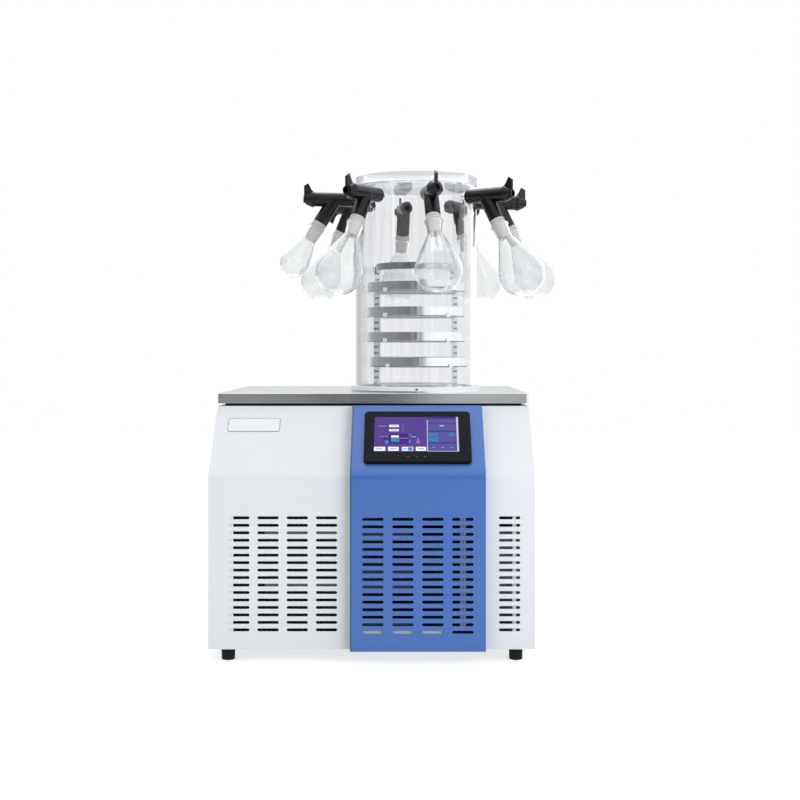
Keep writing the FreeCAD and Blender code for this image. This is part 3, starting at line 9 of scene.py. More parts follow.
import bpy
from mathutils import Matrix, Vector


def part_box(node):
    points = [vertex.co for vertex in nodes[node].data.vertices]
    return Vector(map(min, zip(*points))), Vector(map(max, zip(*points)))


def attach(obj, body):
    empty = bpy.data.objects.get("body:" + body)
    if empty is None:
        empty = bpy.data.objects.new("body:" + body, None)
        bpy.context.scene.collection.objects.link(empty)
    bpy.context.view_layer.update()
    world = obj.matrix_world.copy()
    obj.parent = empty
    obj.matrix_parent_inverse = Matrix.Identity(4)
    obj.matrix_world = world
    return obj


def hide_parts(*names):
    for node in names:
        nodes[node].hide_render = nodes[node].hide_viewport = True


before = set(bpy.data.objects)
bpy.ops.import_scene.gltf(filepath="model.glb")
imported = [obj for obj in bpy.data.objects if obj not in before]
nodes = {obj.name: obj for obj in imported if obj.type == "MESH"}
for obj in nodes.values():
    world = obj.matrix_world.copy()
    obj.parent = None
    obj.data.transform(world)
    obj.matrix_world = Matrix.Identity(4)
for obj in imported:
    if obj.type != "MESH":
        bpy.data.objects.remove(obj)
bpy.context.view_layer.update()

import math

import bmesh
import bpy
from mathutils import Matrix, Vector

scene = bpy.context.scene
MM = 0.001

# %% [markdown]
# ## Measuring from the frame
# What is added has to sit on the solids, so its place is measured from them. `span`
# gives how far a solid reaches along any direction, also along the slanted front.

# %% Measures
def span(node, direction):
    """How far a solid reaches along a direction, lowest and highest."""
    reach = [vertex.co.dot(direction) for vertex in nodes[node].data.vertices]
    return min(reach), max(reach)


chamber_low, chamber_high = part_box("chamber_tube")
lid_low, lid_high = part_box("chamber_lid")
AXIS_X = (chamber_low.x + chamber_high.x) / 2
AXIS_Y = (chamber_low.y + chamber_high.y) / 2
print("chamber axis at x %.3f, y %.3f" % (AXIS_X, AXIS_Y))

# %% [markdown]
# ## The camera
# The machine is seen straight on, a little to the right of its middle and from the
# height of the trays, with the lens level. A long lens keeps the sides parallel.

# %% Camera
LENS = 56.14
LENS_SHIFT = (-0.0055, -0.065)
CAMERA_PLACE = (61.8, -2650, 593.5)

camera_data = bpy.data.cameras.new("camera")
camera_data.sensor_width = 36.0
camera_data.lens = LENS
camera_data.shift_x, camera_data.shift_y = LENS_SHIFT
camera = bpy.data.objects.new("camera", camera_data)
camera.location = [value * MM for value in CAMERA_PLACE]
camera.rotation_euler = (math.radians(90), 0, 0)
scene.collection.objects.link(camera)
scene.camera = camera
scene.view_settings.view_transform = "Standard"
print("lens %.1f mm" % camera_data.lens)

# %% [markdown]
# ## Nodes in short form
# A material is a small graph of nodes. One function adds a node, sets its options, and
# fills its inputs: a number or a colour is written on the socket, and a socket from
# another node is linked. Colours are sRGB hex values, as a paint chart gives them, and
# are turned to the linear values that shaders work with. A node that is given as an
# input stands for its first output.

# %% Node and colour helpers
def linear(hex_colour):
    """A linear RGBA colour from an sRGB hex value."""
    values = [int(hex_colour[i:i + 2], 16) / 255 for i in (1, 3, 5)]
    return tuple(
        v / 12.92 if v <= 0.04045 else ((v + 0.055) / 1.055) ** 2.4 for v in values) + (1.0,)


def add_node(tree, kind, inputs=None, **options):
    """Adds a node with its options, and sets or links its inputs."""
    node = tree.nodes.new(kind)
    for option, value in options.items():
        setattr(node, option, value)
    for key, value in (inputs or {}).items():
        if isinstance(value, bpy.types.Node):
            value = value.outputs[0]
        if isinstance(value, bpy.types.NodeSocket):
            tree.links.new(value, node.inputs[key])
        else:
            node.inputs[key].default_value = value
    return node

# %% [markdown]
# ## One recipe for most surfaces
# Few real surfaces are even. The recipe lays two noises over the object: a fine grain,
# which varies the gloss and raises the surface a little, and a soft cloud, which shifts
# the colour. A table then gives each finish: its name, two colours, the range of its
# roughness, its grain in millimetres, what else it needs, and the solids that wear it.

# %% Surface recipe
def new_material(name):
    """An empty material with its output node."""
    material = bpy.data.materials.new(name)
    material.use_nodes = True
    tree = material.node_tree
    tree.nodes.clear()
    return material, tree, tree.nodes.new("ShaderNodeOutputMaterial")


def position_noise(tree, scale, stretch=(1, 1, 1), detail=3.0):
    """Noise laid out over the object in metres, stretched along its axes."""
    place = add_node(tree, "ShaderNodeTexCoord")
    mapping = add_node(tree, "ShaderNodeMapping", {
        "Vector": place.outputs["Object"], "Scale": stretch,
    })
    return add_node(tree, "ShaderNodeTexNoise", {
        "Vector": mapping.outputs["Vector"], "Scale": scale, "Detail": detail, "Roughness": 0.55,
    }).outputs["Fac"]


CLOUD_SCALE = 6.0
MIDDLE = {"From Min": 0.25, "From Max": 0.75}       # where most of a noise lies


def finish_surface(name, colours, roughness, grain_mm, bump=0.0, stretch=(1, 1, 1), **sockets):
    """A surface whose colour, gloss and relief follow noises of a real size."""
    material, tree, output = new_material(name)
    grain = position_noise(tree, 1 / (grain_mm * MM), stretch)
    cloud = position_noise(tree, CLOUD_SCALE, detail=2.0)
    tone = add_node(tree, "ShaderNodeMix", {
        0: cloud, 6: linear(colours[0]), 7: linear(colours[1]),
    }, data_type="RGBA")
    gloss = add_node(tree, "ShaderNodeMapRange", {
        "Value": grain, **MIDDLE, "To Min": roughness[0], "To Max": roughness[1],
    })
    inputs = {"Base Color": tone.outputs[2], "Roughness": gloss}
    if bump:
        inputs["Normal"] = add_node(tree, "ShaderNodeBump", {
            "Height": grain, "Strength": 1.0, "Distance": bump * MM,
        })
    inputs.update(sockets)
    shader = add_node(tree, "ShaderNodeBsdfPrincipled", inputs)
    tree.links.new(shader.outputs["BSDF"], output.inputs["Surface"])
    return material


def dress(material, *names):
    """Gives CAD nodes a material."""
    for name in names:
        data = nodes[name].data
        data.materials.clear()
        data.materials.append(material)
    print(material.name, "on", len(names), "solids")


def dress_with(finishes):
    """Makes the finishes of a table and dresses their solids, given in one string."""
    made = {}
    for name, colours, roughness, grain_mm, settings, solids in finishes:
        made[name] = finish_surface(name, colours, roughness, grain_mm, **settings)
        dress(made[name], *solids.split())
    return made


# %% [markdown]
# ## Painted steel
# The cabinet is folded from sheet steel and powder coated. The powder melts into a skin
# with a faint orange peel 1.5 mm across, which breaks up the edges of reflections. The
# middle panel has the same coat in blue. Along its left edge a darker line two or three
# millimetres wide is painted into its colour: painted shade, for the shadow that edge
# stands in beside the white sheet.

# %% Powder coats
# Painted shade along the blue panel's left edge: where it starts and fades out, in mm from the
# edge, and how dark it gets.
EDGE_SHADE_LINE = (1.8, 3.6)
EDGE_SHADE_STRENGTH = 0.95
SPECULAR = "Specular IOR Level"

paints = dress_with([
    ("white_powder_coat", ("#E6E8EB", "#EDEFF1"), (0.34, 0.42), 1.5,
     {"bump": 0.01, SPECULAR: 0.4}, "front_panel side_panel_left side_panel_right rear_panel"),
    ("blue_powder_coat", ("#2560B0", "#2963B4"), (0.28, 0.34), 1.5,
     {"bump": 0.003, SPECULAR: 0.8, "Coat Weight": 0.2, "Coat Roughness": 0.25},
     "centre_panel"),
])


def paint_shade_at_left_edge(material, left, colour):
    """Paints shade: blends to a colour over the last millimetres before a left edge, in metres."""
    tree = material.node_tree
    shader = next(node for node in tree.nodes if node.type == "BSDF_PRINCIPLED")
    flat = shader.inputs["Base Color"].links[0].from_socket
    start, end = [left + reach * MM for reach in EDGE_SHADE_LINE]
    place = add_node(tree, "ShaderNodeTexCoord")
    axes = add_node(tree, "ShaderNodeSeparateXYZ", {"Vector": place.outputs["Object"]})
    near = add_node(tree, "ShaderNodeMapRange", {
        "Value": axes.outputs["X"], "From Min": start, "From Max": end,
        "To Min": EDGE_SHADE_STRENGTH, "To Max": 0.0,
    })
    tone = add_node(tree, "ShaderNodeMix", {0: near, 6: flat, 7: linear(colour)},
                    data_type="RGBA")
    tree.links.new(tone.outputs[2], shader.inputs["Base Color"])


# Painted shade: a dark blue line along the left edge of the blue panel.
paint_shade_at_left_edge(paints["blue_powder_coat"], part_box("centre_panel")[0].x, "#0E3468")

# %% [markdown]
# ## Brushed and spun stainless steel
# The top plate is brushed: fine scratches, much longer than they are wide, run along X.
# A noise that is drawn out along the strokes gives them. The real ones are 0.1 mm wide,
# too fine to show, so they are drawn 0.8 mm wide. The trays are spun, so their strokes
# run round them.

# %% Brushed and spun steel
dress_with([
    ("brushed_stainless_steel", ("#B4B8BB", "#BDC0C3"), (0.09, 0.15), 0.8,
     {"bump": 0.0005, "stretch": (0.012, 1, 1), "Metallic": 1.0}, "top_plate"),
    ("spun_stainless_steel", ("#CDD0D3", "#D8DADD"), (0.10, 0.18), 1.2,
     {"bump": 0.0005, "stretch": (0.2, 0.2, 1), "Metallic": 1.0},
     "tray_1 tray_2 tray_3 tray_4 cold_trap vacuum_port"),
])

# %% [markdown]
# ## Blasted steel
# The rack is bead blasted, which leaves it pale and satin, because each tiny dent
# mirrors another part of the room, so it is shaded almost as a pale paint. Only the
# channel round its top is polished, so all its qualities change at that height.

# %% Rack steel
POLISHED_BAND = 14.0


def rack_finish(name, polished_from):
    """Bead blasted steel that turns to polished steel above a height in metres."""
    material, tree, output = new_material(name)
    place = add_node(tree, "ShaderNodeTexCoord")
    axes = add_node(tree, "ShaderNodeSeparateXYZ", {"Vector": place.outputs["Object"]})
    above = add_node(tree, "ShaderNodeMath", {0: axes.outputs["Z"], 1: polished_from},
                     operation="GREATER_THAN")
    dents = position_noise(tree, 1 / (0.6 * MM))
    grain = position_noise(tree, 1 / (1.6 * MM), (0.2, 0.2, 1))
    blasted = add_node(tree, "ShaderNodeMix", {
        0: dents, 6: linear("#F7F8F8"), 7: linear("#FCFDFD"),
    }, data_type="RGBA")
    polished = add_node(tree, "ShaderNodeMix", {
        0: grain, 6: linear("#A4A8AB"), 7: linear("#B2B6B9"),
    }, data_type="RGBA")
    colour = add_node(tree, "ShaderNodeMix", {
        0: above, 6: blasted.outputs[2], 7: polished.outputs[2],
    }, data_type="RGBA")
    satin = add_node(tree, "ShaderNodeMapRange", {
        "Value": dents, **MIDDLE, "To Min": 0.42, "To Max": 0.54,
    })
    bright = add_node(tree, "ShaderNodeMapRange", {
        "Value": grain, **MIDDLE, "To Min": 0.08, "To Max": 0.16,
    })
    gloss = add_node(tree, "ShaderNodeMix", {0: above, 2: satin, 3: bright})
    metal = add_node(tree, "ShaderNodeMapRange", {"Value": above, "To Min": 0.03, "To Max": 1.0})
    relief = add_node(tree, "ShaderNodeBump", {
        "Height": dents, "Strength": 1.0, "Distance": 0.003 * MM,
    })
    shader = add_node(tree, "ShaderNodeBsdfPrincipled", {
        "Base Color": colour.outputs[2], "Metallic": metal, "Roughness": gloss,
        "Normal": relief,
    })
    tree.links.new(shader.outputs["BSDF"], output.inputs["Surface"])
    return material


rack_steel = rack_finish(
    "bead_blasted_stainless_sheet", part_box("rack_frame")[1].z - POLISHED_BAND * MM)
dress(rack_steel, "rack_frame")

# %% [markdown]
# ## Rubber and plastic
# Each part gets what it is made of: black rubber for the feet and below the top plate,
# satin black mouldings for the valves, ABS for the screen's frame and the inlet, white
# silicone for the ring under the chamber, and cream silicone, which lets a little light
# in, for the soft adaptors.

# %% Mouldings
VALVE_PARTS = " ".join(f"valve_{part}_{i + 1}" for i in range(8) for part in ("body", "knob"))

mouldings = dress_with([
    ("black_moulded_rubber", ("#0D0E10", "#131416"), (0.55, 0.70), 0.8,
     {"bump": 0.02, SPECULAR: 0.18}, "feet compressor_mounts top_spacer"),
    ("black_satin_moulding", ("#0B0C0E", "#121315"), (0.20, 0.30), 1.0,
     {"bump": 0.006, SPECULAR: 0.26}, VALVE_PARTS),
    ("black_ABS_moulding", ("#0A0C10", "#0F1217"), (0.34, 0.44), 0.6,
     {"bump": 0.006, SPECULAR: 0.1}, "display_bezel power_inlet fan_rotor"),
    ("dark_grey_polycarbonate", ("#33363A", "#3B3E42"), (0.18, 0.26), 0.8,
     {"bump": 0.004}, "power_rocker"),
    ("cream_silicone_rubber", ("#CCC8C1", "#D9D5CF"), (0.48, 0.62), 1.0,
     {"bump": 0.01, "Subsurface Weight": 0.15, "Subsurface Scale": 0.004,
      "Subsurface Radius": (1.0, 0.8, 0.6)}, "flask_adaptors"),
    ("white_silicone_rubber", ("#F1F2F3", "#F7F8F8"), (0.40, 0.52), 1.0,
     {"bump": 0.01}, "chamber_seal"),
    ("black_nitrile_foam", ("#121314", "#1A1B1D"), (0.8, 0.92), 2.0,
     {"bump": 0.25}, "trap_insulation"),
])

# %% [markdown]
# ## The metals inside
# Galvanised sheet shows large soft spangles, copper tube and turned brass show the
# strokes of their making, and the fins of the condenser are coated black. They are only
# seen through the slots or from behind, apart from the grey anodised nameplate.

# %% Hardware
dress_with([
    ("galvanised_sheet", ("#9EA2A5", "#B4B8BA"), (0.38, 0.55), 12.0,
     {"bump": 0.005, "Metallic": 1.0}, "base_pan fan_shroud fan_motor control_box"),
    ("drawn_copper_tube", ("#B9754F", "#C98963"), (0.24, 0.4), 3.0,
     {"Metallic": 1.0}, "evaporator_coil"),
    ("turned_brass", ("#B99A55", "#C8AA66"), (0.22, 0.36), 0.8,
     {"stretch": (1, 0.1, 1), "Metallic": 1.0}, "drain_valve drain_lever"),
    ("black_stoving_enamel", ("#0E0F11", "#15171A"), (0.26, 0.36), 2.0,
     {"bump": 0.01}, "compressor"),
    ("black_coated_aluminium_fins", ("#191A1C", "#232427"), (0.40, 0.55), 4.0,
     {}, "condenser"),
    ("grey_anodised_aluminium", ("#7C8084", "#888C90"), (0.28, 0.36), 1.0,
     {"stretch": (0.05, 1, 1), "Metallic": 1.0}, "nameplate"),
])

# %% [markdown]
# ## Clear acrylic and glass
# Clear parts show by what they bend and mirror. The chamber is cast acrylic, 10 mm
# thick, and the flasks are blown borosilicate glass. A wall looks darker where it is met
# at a glancing angle, because light has more of it to cross, so the tint follows the
# facing angle. A slow ripple bends what stands behind: lumps in the blown flasks, and in
# the tube long lines from its casting, which also hold a faint veil. The indices lie
# a little under the real 1.49 and 1.47, so that the walls double less of what is behind.
# Rays from the lamps pass straight through, so the trays inside stay lit. So do the rays
# of a mirror image. A ray that glass bends counts as glossy too, so it is taken out.

# %% Clear materials
def clear_material(name, face, edge, ior, clarity, ripple_mm, ripple_depth,
                   stretch=(1, 1, 1), veil=0.0):
    """Glass that tints more at glancing angles and lets indirect light straight through."""
    material, tree, output = new_material(name)
    depth = add_node(tree, "ShaderNodeLayerWeight", {"Blend": 0.35}).outputs["Facing"]
    ripple = position_noise(tree, 1 / (ripple_mm * MM), stretch, detail=1.0)
    if veil:
        haze = add_node(tree, "ShaderNodeMapRange", {
            "Value": ripple, **MIDDLE, "To Min": 0.0, "To Max": veil,
        })
        depth = add_node(tree, "ShaderNodeMath", {0: depth, 1: haze}, operation="ADD",
                         use_clamp=True)
    tint = add_node(tree, "ShaderNodeMix", {0: depth, 6: linear(face), 7: linear(edge)},
                    data_type="RGBA")
    relief = add_node(tree, "ShaderNodeBump", {
        "Height": ripple, "Strength": 1.0, "Distance": ripple_depth * MM,
    })
    glass = add_node(tree, "ShaderNodeBsdfPrincipled", {
        "Base Color": tint.outputs[2], "Roughness": 0.0, "IOR": ior,
        "Transmission Weight": clarity, "Normal": relief,
    })
    ray = add_node(tree, "ShaderNodeLightPath").outputs
    indirect = add_node(tree, "ShaderNodeMath", {
        0: ray["Is Shadow Ray"], 1: ray["Is Diffuse Ray"],
    }, operation="MAXIMUM")
    mirrored = add_node(tree, "ShaderNodeMath", {
        0: ray["Is Glossy Ray"], 1: ray["Is Transmission Ray"],
    }, operation="SUBTRACT")
    straight = add_node(tree, "ShaderNodeMath", {0: indirect, 1: mirrored}, operation="MAXIMUM")
    through = add_node(tree, "ShaderNodeBsdfTransparent", {"Color": (0.98, 0.983, 0.987, 1)})
    mix = add_node(tree, "ShaderNodeMixShader", {0: straight, 1: glass, 2: through})
    tree.links.new(mix.outputs["Shader"], output.inputs["Surface"])
    return material


acrylic = clear_material(
    "cast_clear_acrylic", "#FCFCFD", "#E6E8EA", ior=1.36, clarity=1.0,
    ripple_mm=9.0, ripple_depth=0.2, stretch=(1, 1, 0.03), veil=0.7)
lid_acrylic = clear_material(
    "thick_clear_acrylic", "#D6D9DB", "#BFC3C7", ior=1.45, clarity=0.97,
    ripple_mm=70.0, ripple_depth=0.15)
borosilicate = clear_material(
    "blown_borosilicate_glass", "#F7F8F8", "#E1E3E5", ior=1.37, clarity=0.97,
    ripple_mm=20.0, ripple_depth=0.5)
print("clear materials:", acrylic.name, lid_acrylic.name, borosilicate.name)

# %% [markdown]
# ## Making and adding shapes
# Small pieces are closed solids: stacked rings of points, or boxes with rounded edges.
# `add_piece` puts a finished mesh in the scene, says which body it moves with and what
# it is made of, and names the solids that it stands for.

# %% Shape helpers
SHARP_ANGLE = math.radians(32)


def place_object(name, mesh):
    """Puts a mesh in the scene as an object."""
    placed = bpy.data.objects.new(name, mesh)
    scene.collection.objects.link(placed)
    return placed


def as_mesh(work, name):
    """The mesh of a finished bmesh."""
    mesh = bpy.data.meshes.new(name)
    work.to_mesh(mesh)
    work.free()
    return mesh


def stack_rings(work, rings):
    """A closed solid through rings of as many points each, from the base up."""
    faces = [work.faces.new(rings[0][::-1]), work.faces.new(rings[-1])]
    for lower, upper in zip(rings, rings[1:]):
        for i in range(len(lower)):
            j = (i + 1) % len(lower)
            faces.append(work.faces.new((lower[i], lower[j], upper[j], upper[i])))
    return faces


def rounded_box(work, middle, size, radius, segments):
    """A box with rounded edges, in metres."""
    box = bmesh.ops.create_cube(work, size=1.0, matrix=Matrix.LocRotScale(middle, None, size))
    edges = dict.fromkeys(edge for vert in box["verts"] for edge in vert.link_edges)
    bmesh.ops.bevel(work, geom=list(edges), offset=radius, segments=segments,
                    affect="EDGES", profile=0.5)


def arc_points(centre, radius, start, end, count):
    """Points along an arc in the profile's plane, with angles in degrees."""
    step = (end - start) / (count - 1)
    return [
        (centre[0] + radius * math.cos(math.radians(start + k * step)),
         centre[1] + radius * math.sin(math.radians(start + k * step)))
        for k in range(count)
    ]


def add_piece(name, shape, material=None, stands_for=(), body="cabinet"):
    """Puts a mesh or a bmesh in the scene, on its body and with its finish."""
    mesh = shape if isinstance(shape, bpy.types.Mesh) else as_mesh(shape, name)
    piece = place_object(name, mesh)
    if material is not None:
        mesh.materials.clear()
        mesh.materials.append(material)
    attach(piece, body)
    if stands_for:
        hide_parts(*stands_for)
    print(name, "has", len(mesh.polygons), "faces")
    return piece


# %% [markdown]
# ## Turned shapes
# The chamber, its lid and the flasks are round, so each is a profile carried round an
# axis. `turned_mesh` spins the profile, welds the points on the axis and turns the faces
# outwards. Shading is smooth except at true edges.

# %% Turning a profile
def turned_mesh(name, profile, steps, place):
    """Spins a closed profile of (radius, height) pairs, in millimetres, round Z."""
    work = bmesh.new()
    rings = []
    for k in range(steps):
        angle = 2 * math.pi * k / steps
        c, s = math.cos(angle) * MM, math.sin(angle) * MM
        rings.append([work.verts.new((r * c, r * s, h * MM)) for r, h in profile])
    for k in range(steps):
        ring, after = rings[k], rings[(k + 1) % steps]
        for i in range(len(profile)):
            j = (i + 1) % len(profile)
            if profile[i][0] == 0 and profile[j][0] == 0:
                continue
            work.faces.new((ring[i], after[i], after[j], ring[j]))
    bmesh.ops.remove_doubles(work, verts=work.verts, dist=1e-6)
    bmesh.ops.dissolve_degenerate(work, dist=1e-7, edges=work.edges)
    bmesh.ops.recalc_face_normals(work, faces=work.faces)
    work.transform(place)
    mesh = as_mesh(work, name)
    mesh.shade_smooth()
    mesh.set_sharp_from_angle(angle=SHARP_ANGLE)
    return mesh


# %% [markdown]
# ## The drying chamber
# A cast acrylic tube, open at both ends, stands on its ring. Its edges are polished and
# have a small bevel that catches the light. The eight holes for the valves are cut
# through its wall near the top, with one mesh of eight rods.

# %% Chamber tube
CHAMBER_WALL = 10.0
CHAMBER_STEPS = 192
BEVEL = 0.8
VALVE_DROP = 48.0
VALVE_HEIGHT = lid_high.z / MM - VALVE_DROP
VALVE_ANGLES = [9.0 + 45.0 * i - 90.0 for i in range(8)]
SPIGOT_HOLE_R = 8.0

outer = (chamber_high.x - chamber_low.x) / 2 / MM
inner = outer - CHAMBER_WALL
low, high = chamber_low.z / MM, chamber_high.z / MM
chamber_axis = Matrix.Translation((AXIS_X, AXIS_Y, 0))
tube_mesh = turned_mesh("chamber_glass", [
    (inner + BEVEL, low), (outer - BEVEL, low), (outer, low + BEVEL), (outer, high - BEVEL),
    (outer - BEVEL, high), (inner + BEVEL, high), (inner, high - BEVEL), (inner, low + BEVEL),
], CHAMBER_STEPS, chamber_axis)

drill = bmesh.new()
for angle in VALVE_ANGLES:
    turn = (Matrix.Rotation(math.radians(angle), 4, "Z")
            @ Matrix.Rotation(math.radians(90), 4, "Y"))
    centre = Vector((AXIS_X, AXIS_Y, VALVE_HEIGHT * MM))
    shift = turn.to_3x3() @ Vector((0, 0, (inner + outer) / 2 * MM))
    bmesh.ops.create_cone(
        drill, cap_ends=True, segments=32, radius1=SPIGOT_HOLE_R * MM,
        radius2=SPIGOT_HOLE_R * MM, depth=3 * CHAMBER_WALL * MM,
        matrix=Matrix.Translation(centre + shift) @ turn,
    )
drill_object = place_object("drill", as_mesh(drill, "drill"))
tube_object = place_object("tube_blank", tube_mesh)
cut = tube_object.modifiers.new("holes", "BOOLEAN")
cut.object = drill_object
cut.operation = "DIFFERENCE"
cut.solver = "EXACT"
graph = bpy.context.evaluated_depsgraph_get()
cut_mesh = bpy.data.meshes.new_from_object(tube_object.evaluated_get(graph))
for blank in (tube_object, drill_object):
    bpy.data.objects.remove(blank)
cut_mesh.shade_smooth()
cut_mesh.set_sharp_from_angle(angle=SHARP_ANGLE)
add_piece("chamber_clear_tube", cut_mesh, acrylic, ["chamber_tube"])

# %% [markdown]
# ## The lid
# A thick flat disc of the same acrylic closes the tube. A step under it drops into the
# bore and keeps it in the middle, and its top edge is rounded so that it lifts well.

# %% Chamber lid
LID_STEP = 3.0
LID_STEP_CLEARANCE = 0.3
LID_EDGE_R = 1.5
LID_EDGE_CUT = 0.44         # how far the middle of the rounded edge lies inside the corner

step_r = inner - LID_STEP_CLEARANCE
lid_bottom, lid_top = lid_low.z / MM, lid_high.z / MM
step_top = lid_bottom + LID_STEP
lid_mesh = turned_mesh("chamber_lid_glass", [
    (0, lid_bottom), (step_r, lid_bottom), (step_r, step_top), (outer - BEVEL, step_top),
    (outer, step_top + BEVEL), (outer, lid_top - LID_EDGE_R),
    (outer - LID_EDGE_CUT, lid_top - LID_EDGE_CUT), (outer - LID_EDGE_R, lid_top), (0, lid_top),
], CHAMBER_STEPS, chamber_axis)
add_piece("chamber_clear_lid", lid_mesh, lid_acrylic,
          ["chamber_lid"])

# %% [markdown]
# ## The flasks
# Each flask is blown: a rim ground flat, a tapered neck that grips the plug, and a
# pear-shaped bulb. The outer wall is one line from rim to tip and the inner wall 2 mm
# inside it. Seven are large. The small one on the left leans out a little more.

# %% Blown flasks
GLASS = 2.0
NECK_TOP_R, NECK_END_R, NECK_L = 17.0, 14.5, 30.0
RIM_R, RIM_H, RIM_EDGE = 18.8, 4.0, 0.6
BRANCH_TOP = 72.0           # from the valve's axis to the flask's rim, along the branch
BRANCH_X = 175.0
SMALL_FLASK = 6
LARGE_BULB, SMALL_BULB = (47.0, 113.5), (31.4, 87.0)   # radius, and place below the rim
BRANCH_TILT, SMALL_TILT = 28.0, 32.0
FLASK_STEPS = 72
BULB_STEPS = 30


def bulb_line(neck_r, bulb_r, bulb_at):
    """The flank from the neck, which bends smoothly into the round of the bulb."""
    rise = bulb_at - NECK_L
    distance = math.hypot(rise, neck_r)
    lean = math.asin(bulb_r / distance) - math.atan2(neck_r, rise)
    flank = math.sqrt(distance ** 2 - bulb_r ** 2)
    touch = (neck_r + flank * math.sin(lean), NECK_L + flank * math.cos(lean))
    start = math.degrees(math.atan2(touch[1] - bulb_at, touch[0]))
    sloping = [
        (neck_r + (touch[0] - neck_r) * t, NECK_L + (touch[1] - NECK_L) * t)
        for t in [k / 8 for k in range(1, 8)]
    ]
    round_part = arc_points((0, bulb_at), bulb_r, start, 90, BULB_STEPS)[:-1]
    return sloping + round_part + [(0, bulb_at + bulb_r)]


def flask_profile(bulb_r, bulb_at):
    """The closed outline of the glass, from the rim down the outside and up the inside."""
    outside = bulb_line(NECK_END_R, bulb_r, bulb_at)
    inside = bulb_line(NECK_END_R - GLASS, bulb_r - GLASS, bulb_at)
    shoulder = [
        (RIM_R - RIM_EDGE, 0), (RIM_R, RIM_EDGE), (RIM_R, RIM_H - RIM_EDGE),
        (RIM_R - RIM_EDGE, RIM_H), (NECK_TOP_R + 0.2, RIM_H + 0.9),
    ]
    neck = [
        (NECK_TOP_R + (NECK_END_R - NECK_TOP_R) * t, RIM_H + 2 + (NECK_L - RIM_H - 2) * t)
        for t in (0, 0.5, 1)
    ]
    return ([(NECK_TOP_R - GLASS, 0)] + shoulder + neck + outside
            + inside[::-1] + [(NECK_END_R - GLASS, NECK_L)])


def branch_place(index):
    """The matrix that hangs a shape, drawn up Z, from a valve's branch."""
    tilt = SMALL_TILT if index == SMALL_FLASK else BRANCH_TILT
    down = Matrix.Rotation(math.radians(180 - tilt), 4, "Y")
    out = Matrix.Translation((BRANCH_X * MM, 0, 0))
    turn = Matrix.Rotation(math.radians(VALVE_ANGLES[index]), 4, "Z")
    centre = Matrix.Translation((AXIS_X, AXIS_Y, VALVE_HEIGHT * MM))
    return centre @ turn @ out @ down


for index in range(8):
    bulb = SMALL_BULB if index == SMALL_FLASK else LARGE_BULB
    hang = branch_place(index) @ Matrix.Translation((0, 0, BRANCH_TOP * MM))
    mesh = turned_mesh(f"flask_glass_{index + 1}", flask_profile(*bulb), FLASK_STEPS, hang)
    add_piece(f"blown_flask_{index + 1}", mesh, borosilicate,
              [f"flask_{index + 1}"])

# %% [markdown]
# ## Growing what repeats
# Ribs, screws and pleats come in rows, so Geometry Nodes make them. A tree has its sizes
# as named inputs and is run on a seed mesh: loose points, each with the direction in
# which its copy looks. `grow` sets the inputs, evaluates the modifier and keeps the
# result as a plain mesh.

# %% Geometry Nodes helpers
def sized_tree(name, sizes):
    """An empty tree with named inputs, and its entry and exit nodes."""
    tree = bpy.data.node_groups.new(name, "GeometryNodeTree")
    for side in ("INPUT", "OUTPUT"):
        tree.interface.new_socket("Geometry", in_out=side, socket_type="NodeSocketGeometry")
    for label, value in sizes.items():
        kind = "NodeSocketInt" if isinstance(value, int) else "NodeSocketFloat"
        socket = tree.interface.new_socket(label, in_out="INPUT", socket_type=kind)
        socket.default_value = value
    tree.interface.new_socket("Finish", in_out="INPUT", socket_type="NodeSocketMaterial")
    return tree, tree.nodes.new("NodeGroupInput"), tree.nodes.new("NodeGroupOutput")


def finish_tree(tree, entry, leave, geometry):
    """Gives the geometry its material and sends it out."""
    coated = add_node(tree, "GeometryNodeSetMaterial", {
        "Geometry": geometry, "Material": entry.outputs["Finish"],
    })
    tree.links.new(coated.outputs["Geometry"], leave.inputs["Geometry"])


def copies_on_points(tree, entry, leave, shape):
    """Puts a shape on every seed point, turned its way, and ends the tree."""
    along = add_node(tree, "GeometryNodeInputNamedAttribute", {"Name": "along"},
                     data_type="FLOAT_VECTOR")
    turn = add_node(tree, "FunctionNodeAlignRotationToVector", {
        "Vector": along.outputs["Attribute"],
    }, axis="Z")
    copies = add_node(tree, "GeometryNodeInstanceOnPoints", {
        "Points": entry.outputs["Geometry"], "Instance": shape,
        "Rotation": turn.outputs["Rotation"],
    })
    real = add_node(tree, "GeometryNodeRealizeInstances", {
        "Geometry": copies.outputs["Instances"],
    })
    finish_tree(tree, entry, leave, real.outputs["Geometry"])


def weld_halves(tree, *halves):
    """Joins sheets that share their edges into one closed skin."""
    joined = add_node(tree, "GeometryNodeJoinGeometry")
    for half in halves:
        tree.links.new(half, joined.inputs["Geometry"])
    return add_node(tree, "GeometryNodeMergeByDistance", {
        "Geometry": joined.outputs["Geometry"], "Distance": 1e-6,
    }).outputs["Geometry"]


def seed_points(name, places):
    """Loose points, each with the direction its copy looks in."""
    mesh = bpy.data.meshes.new(name)
    mesh.from_pydata([tuple(point) for point, way in places], [], [])
    along = mesh.attributes.new("along", "FLOAT_VECTOR", "POINT")
    along.data.foreach_set("vector", [value for point, way in places for value in way])
    return mesh


def grow(name, seed, tree, finish, sizes):
    """Runs a tree on a seed and returns the result as a plain mesh."""
    carrier = place_object(name, seed)
    modifier = carrier.modifiers.new("shape", "NODES")
    modifier.node_group = tree
    settings = {**sizes, "Finish": finish}
    for item in tree.interface.items_tree:
        if item.in_out == "INPUT" and item.name in settings:
            modifier[item.identifier] = settings[item.name]
    graph = bpy.context.evaluated_depsgraph_get()
    mesh = bpy.data.meshes.new_from_object(carrier.evaluated_get(graph), depsgraph=graph)
    carrier.modifiers.clear()
    bpy.data.objects.remove(carrier)
    mesh.set_sharp_from_angle(angle=SHARP_ANGLE)
    return mesh


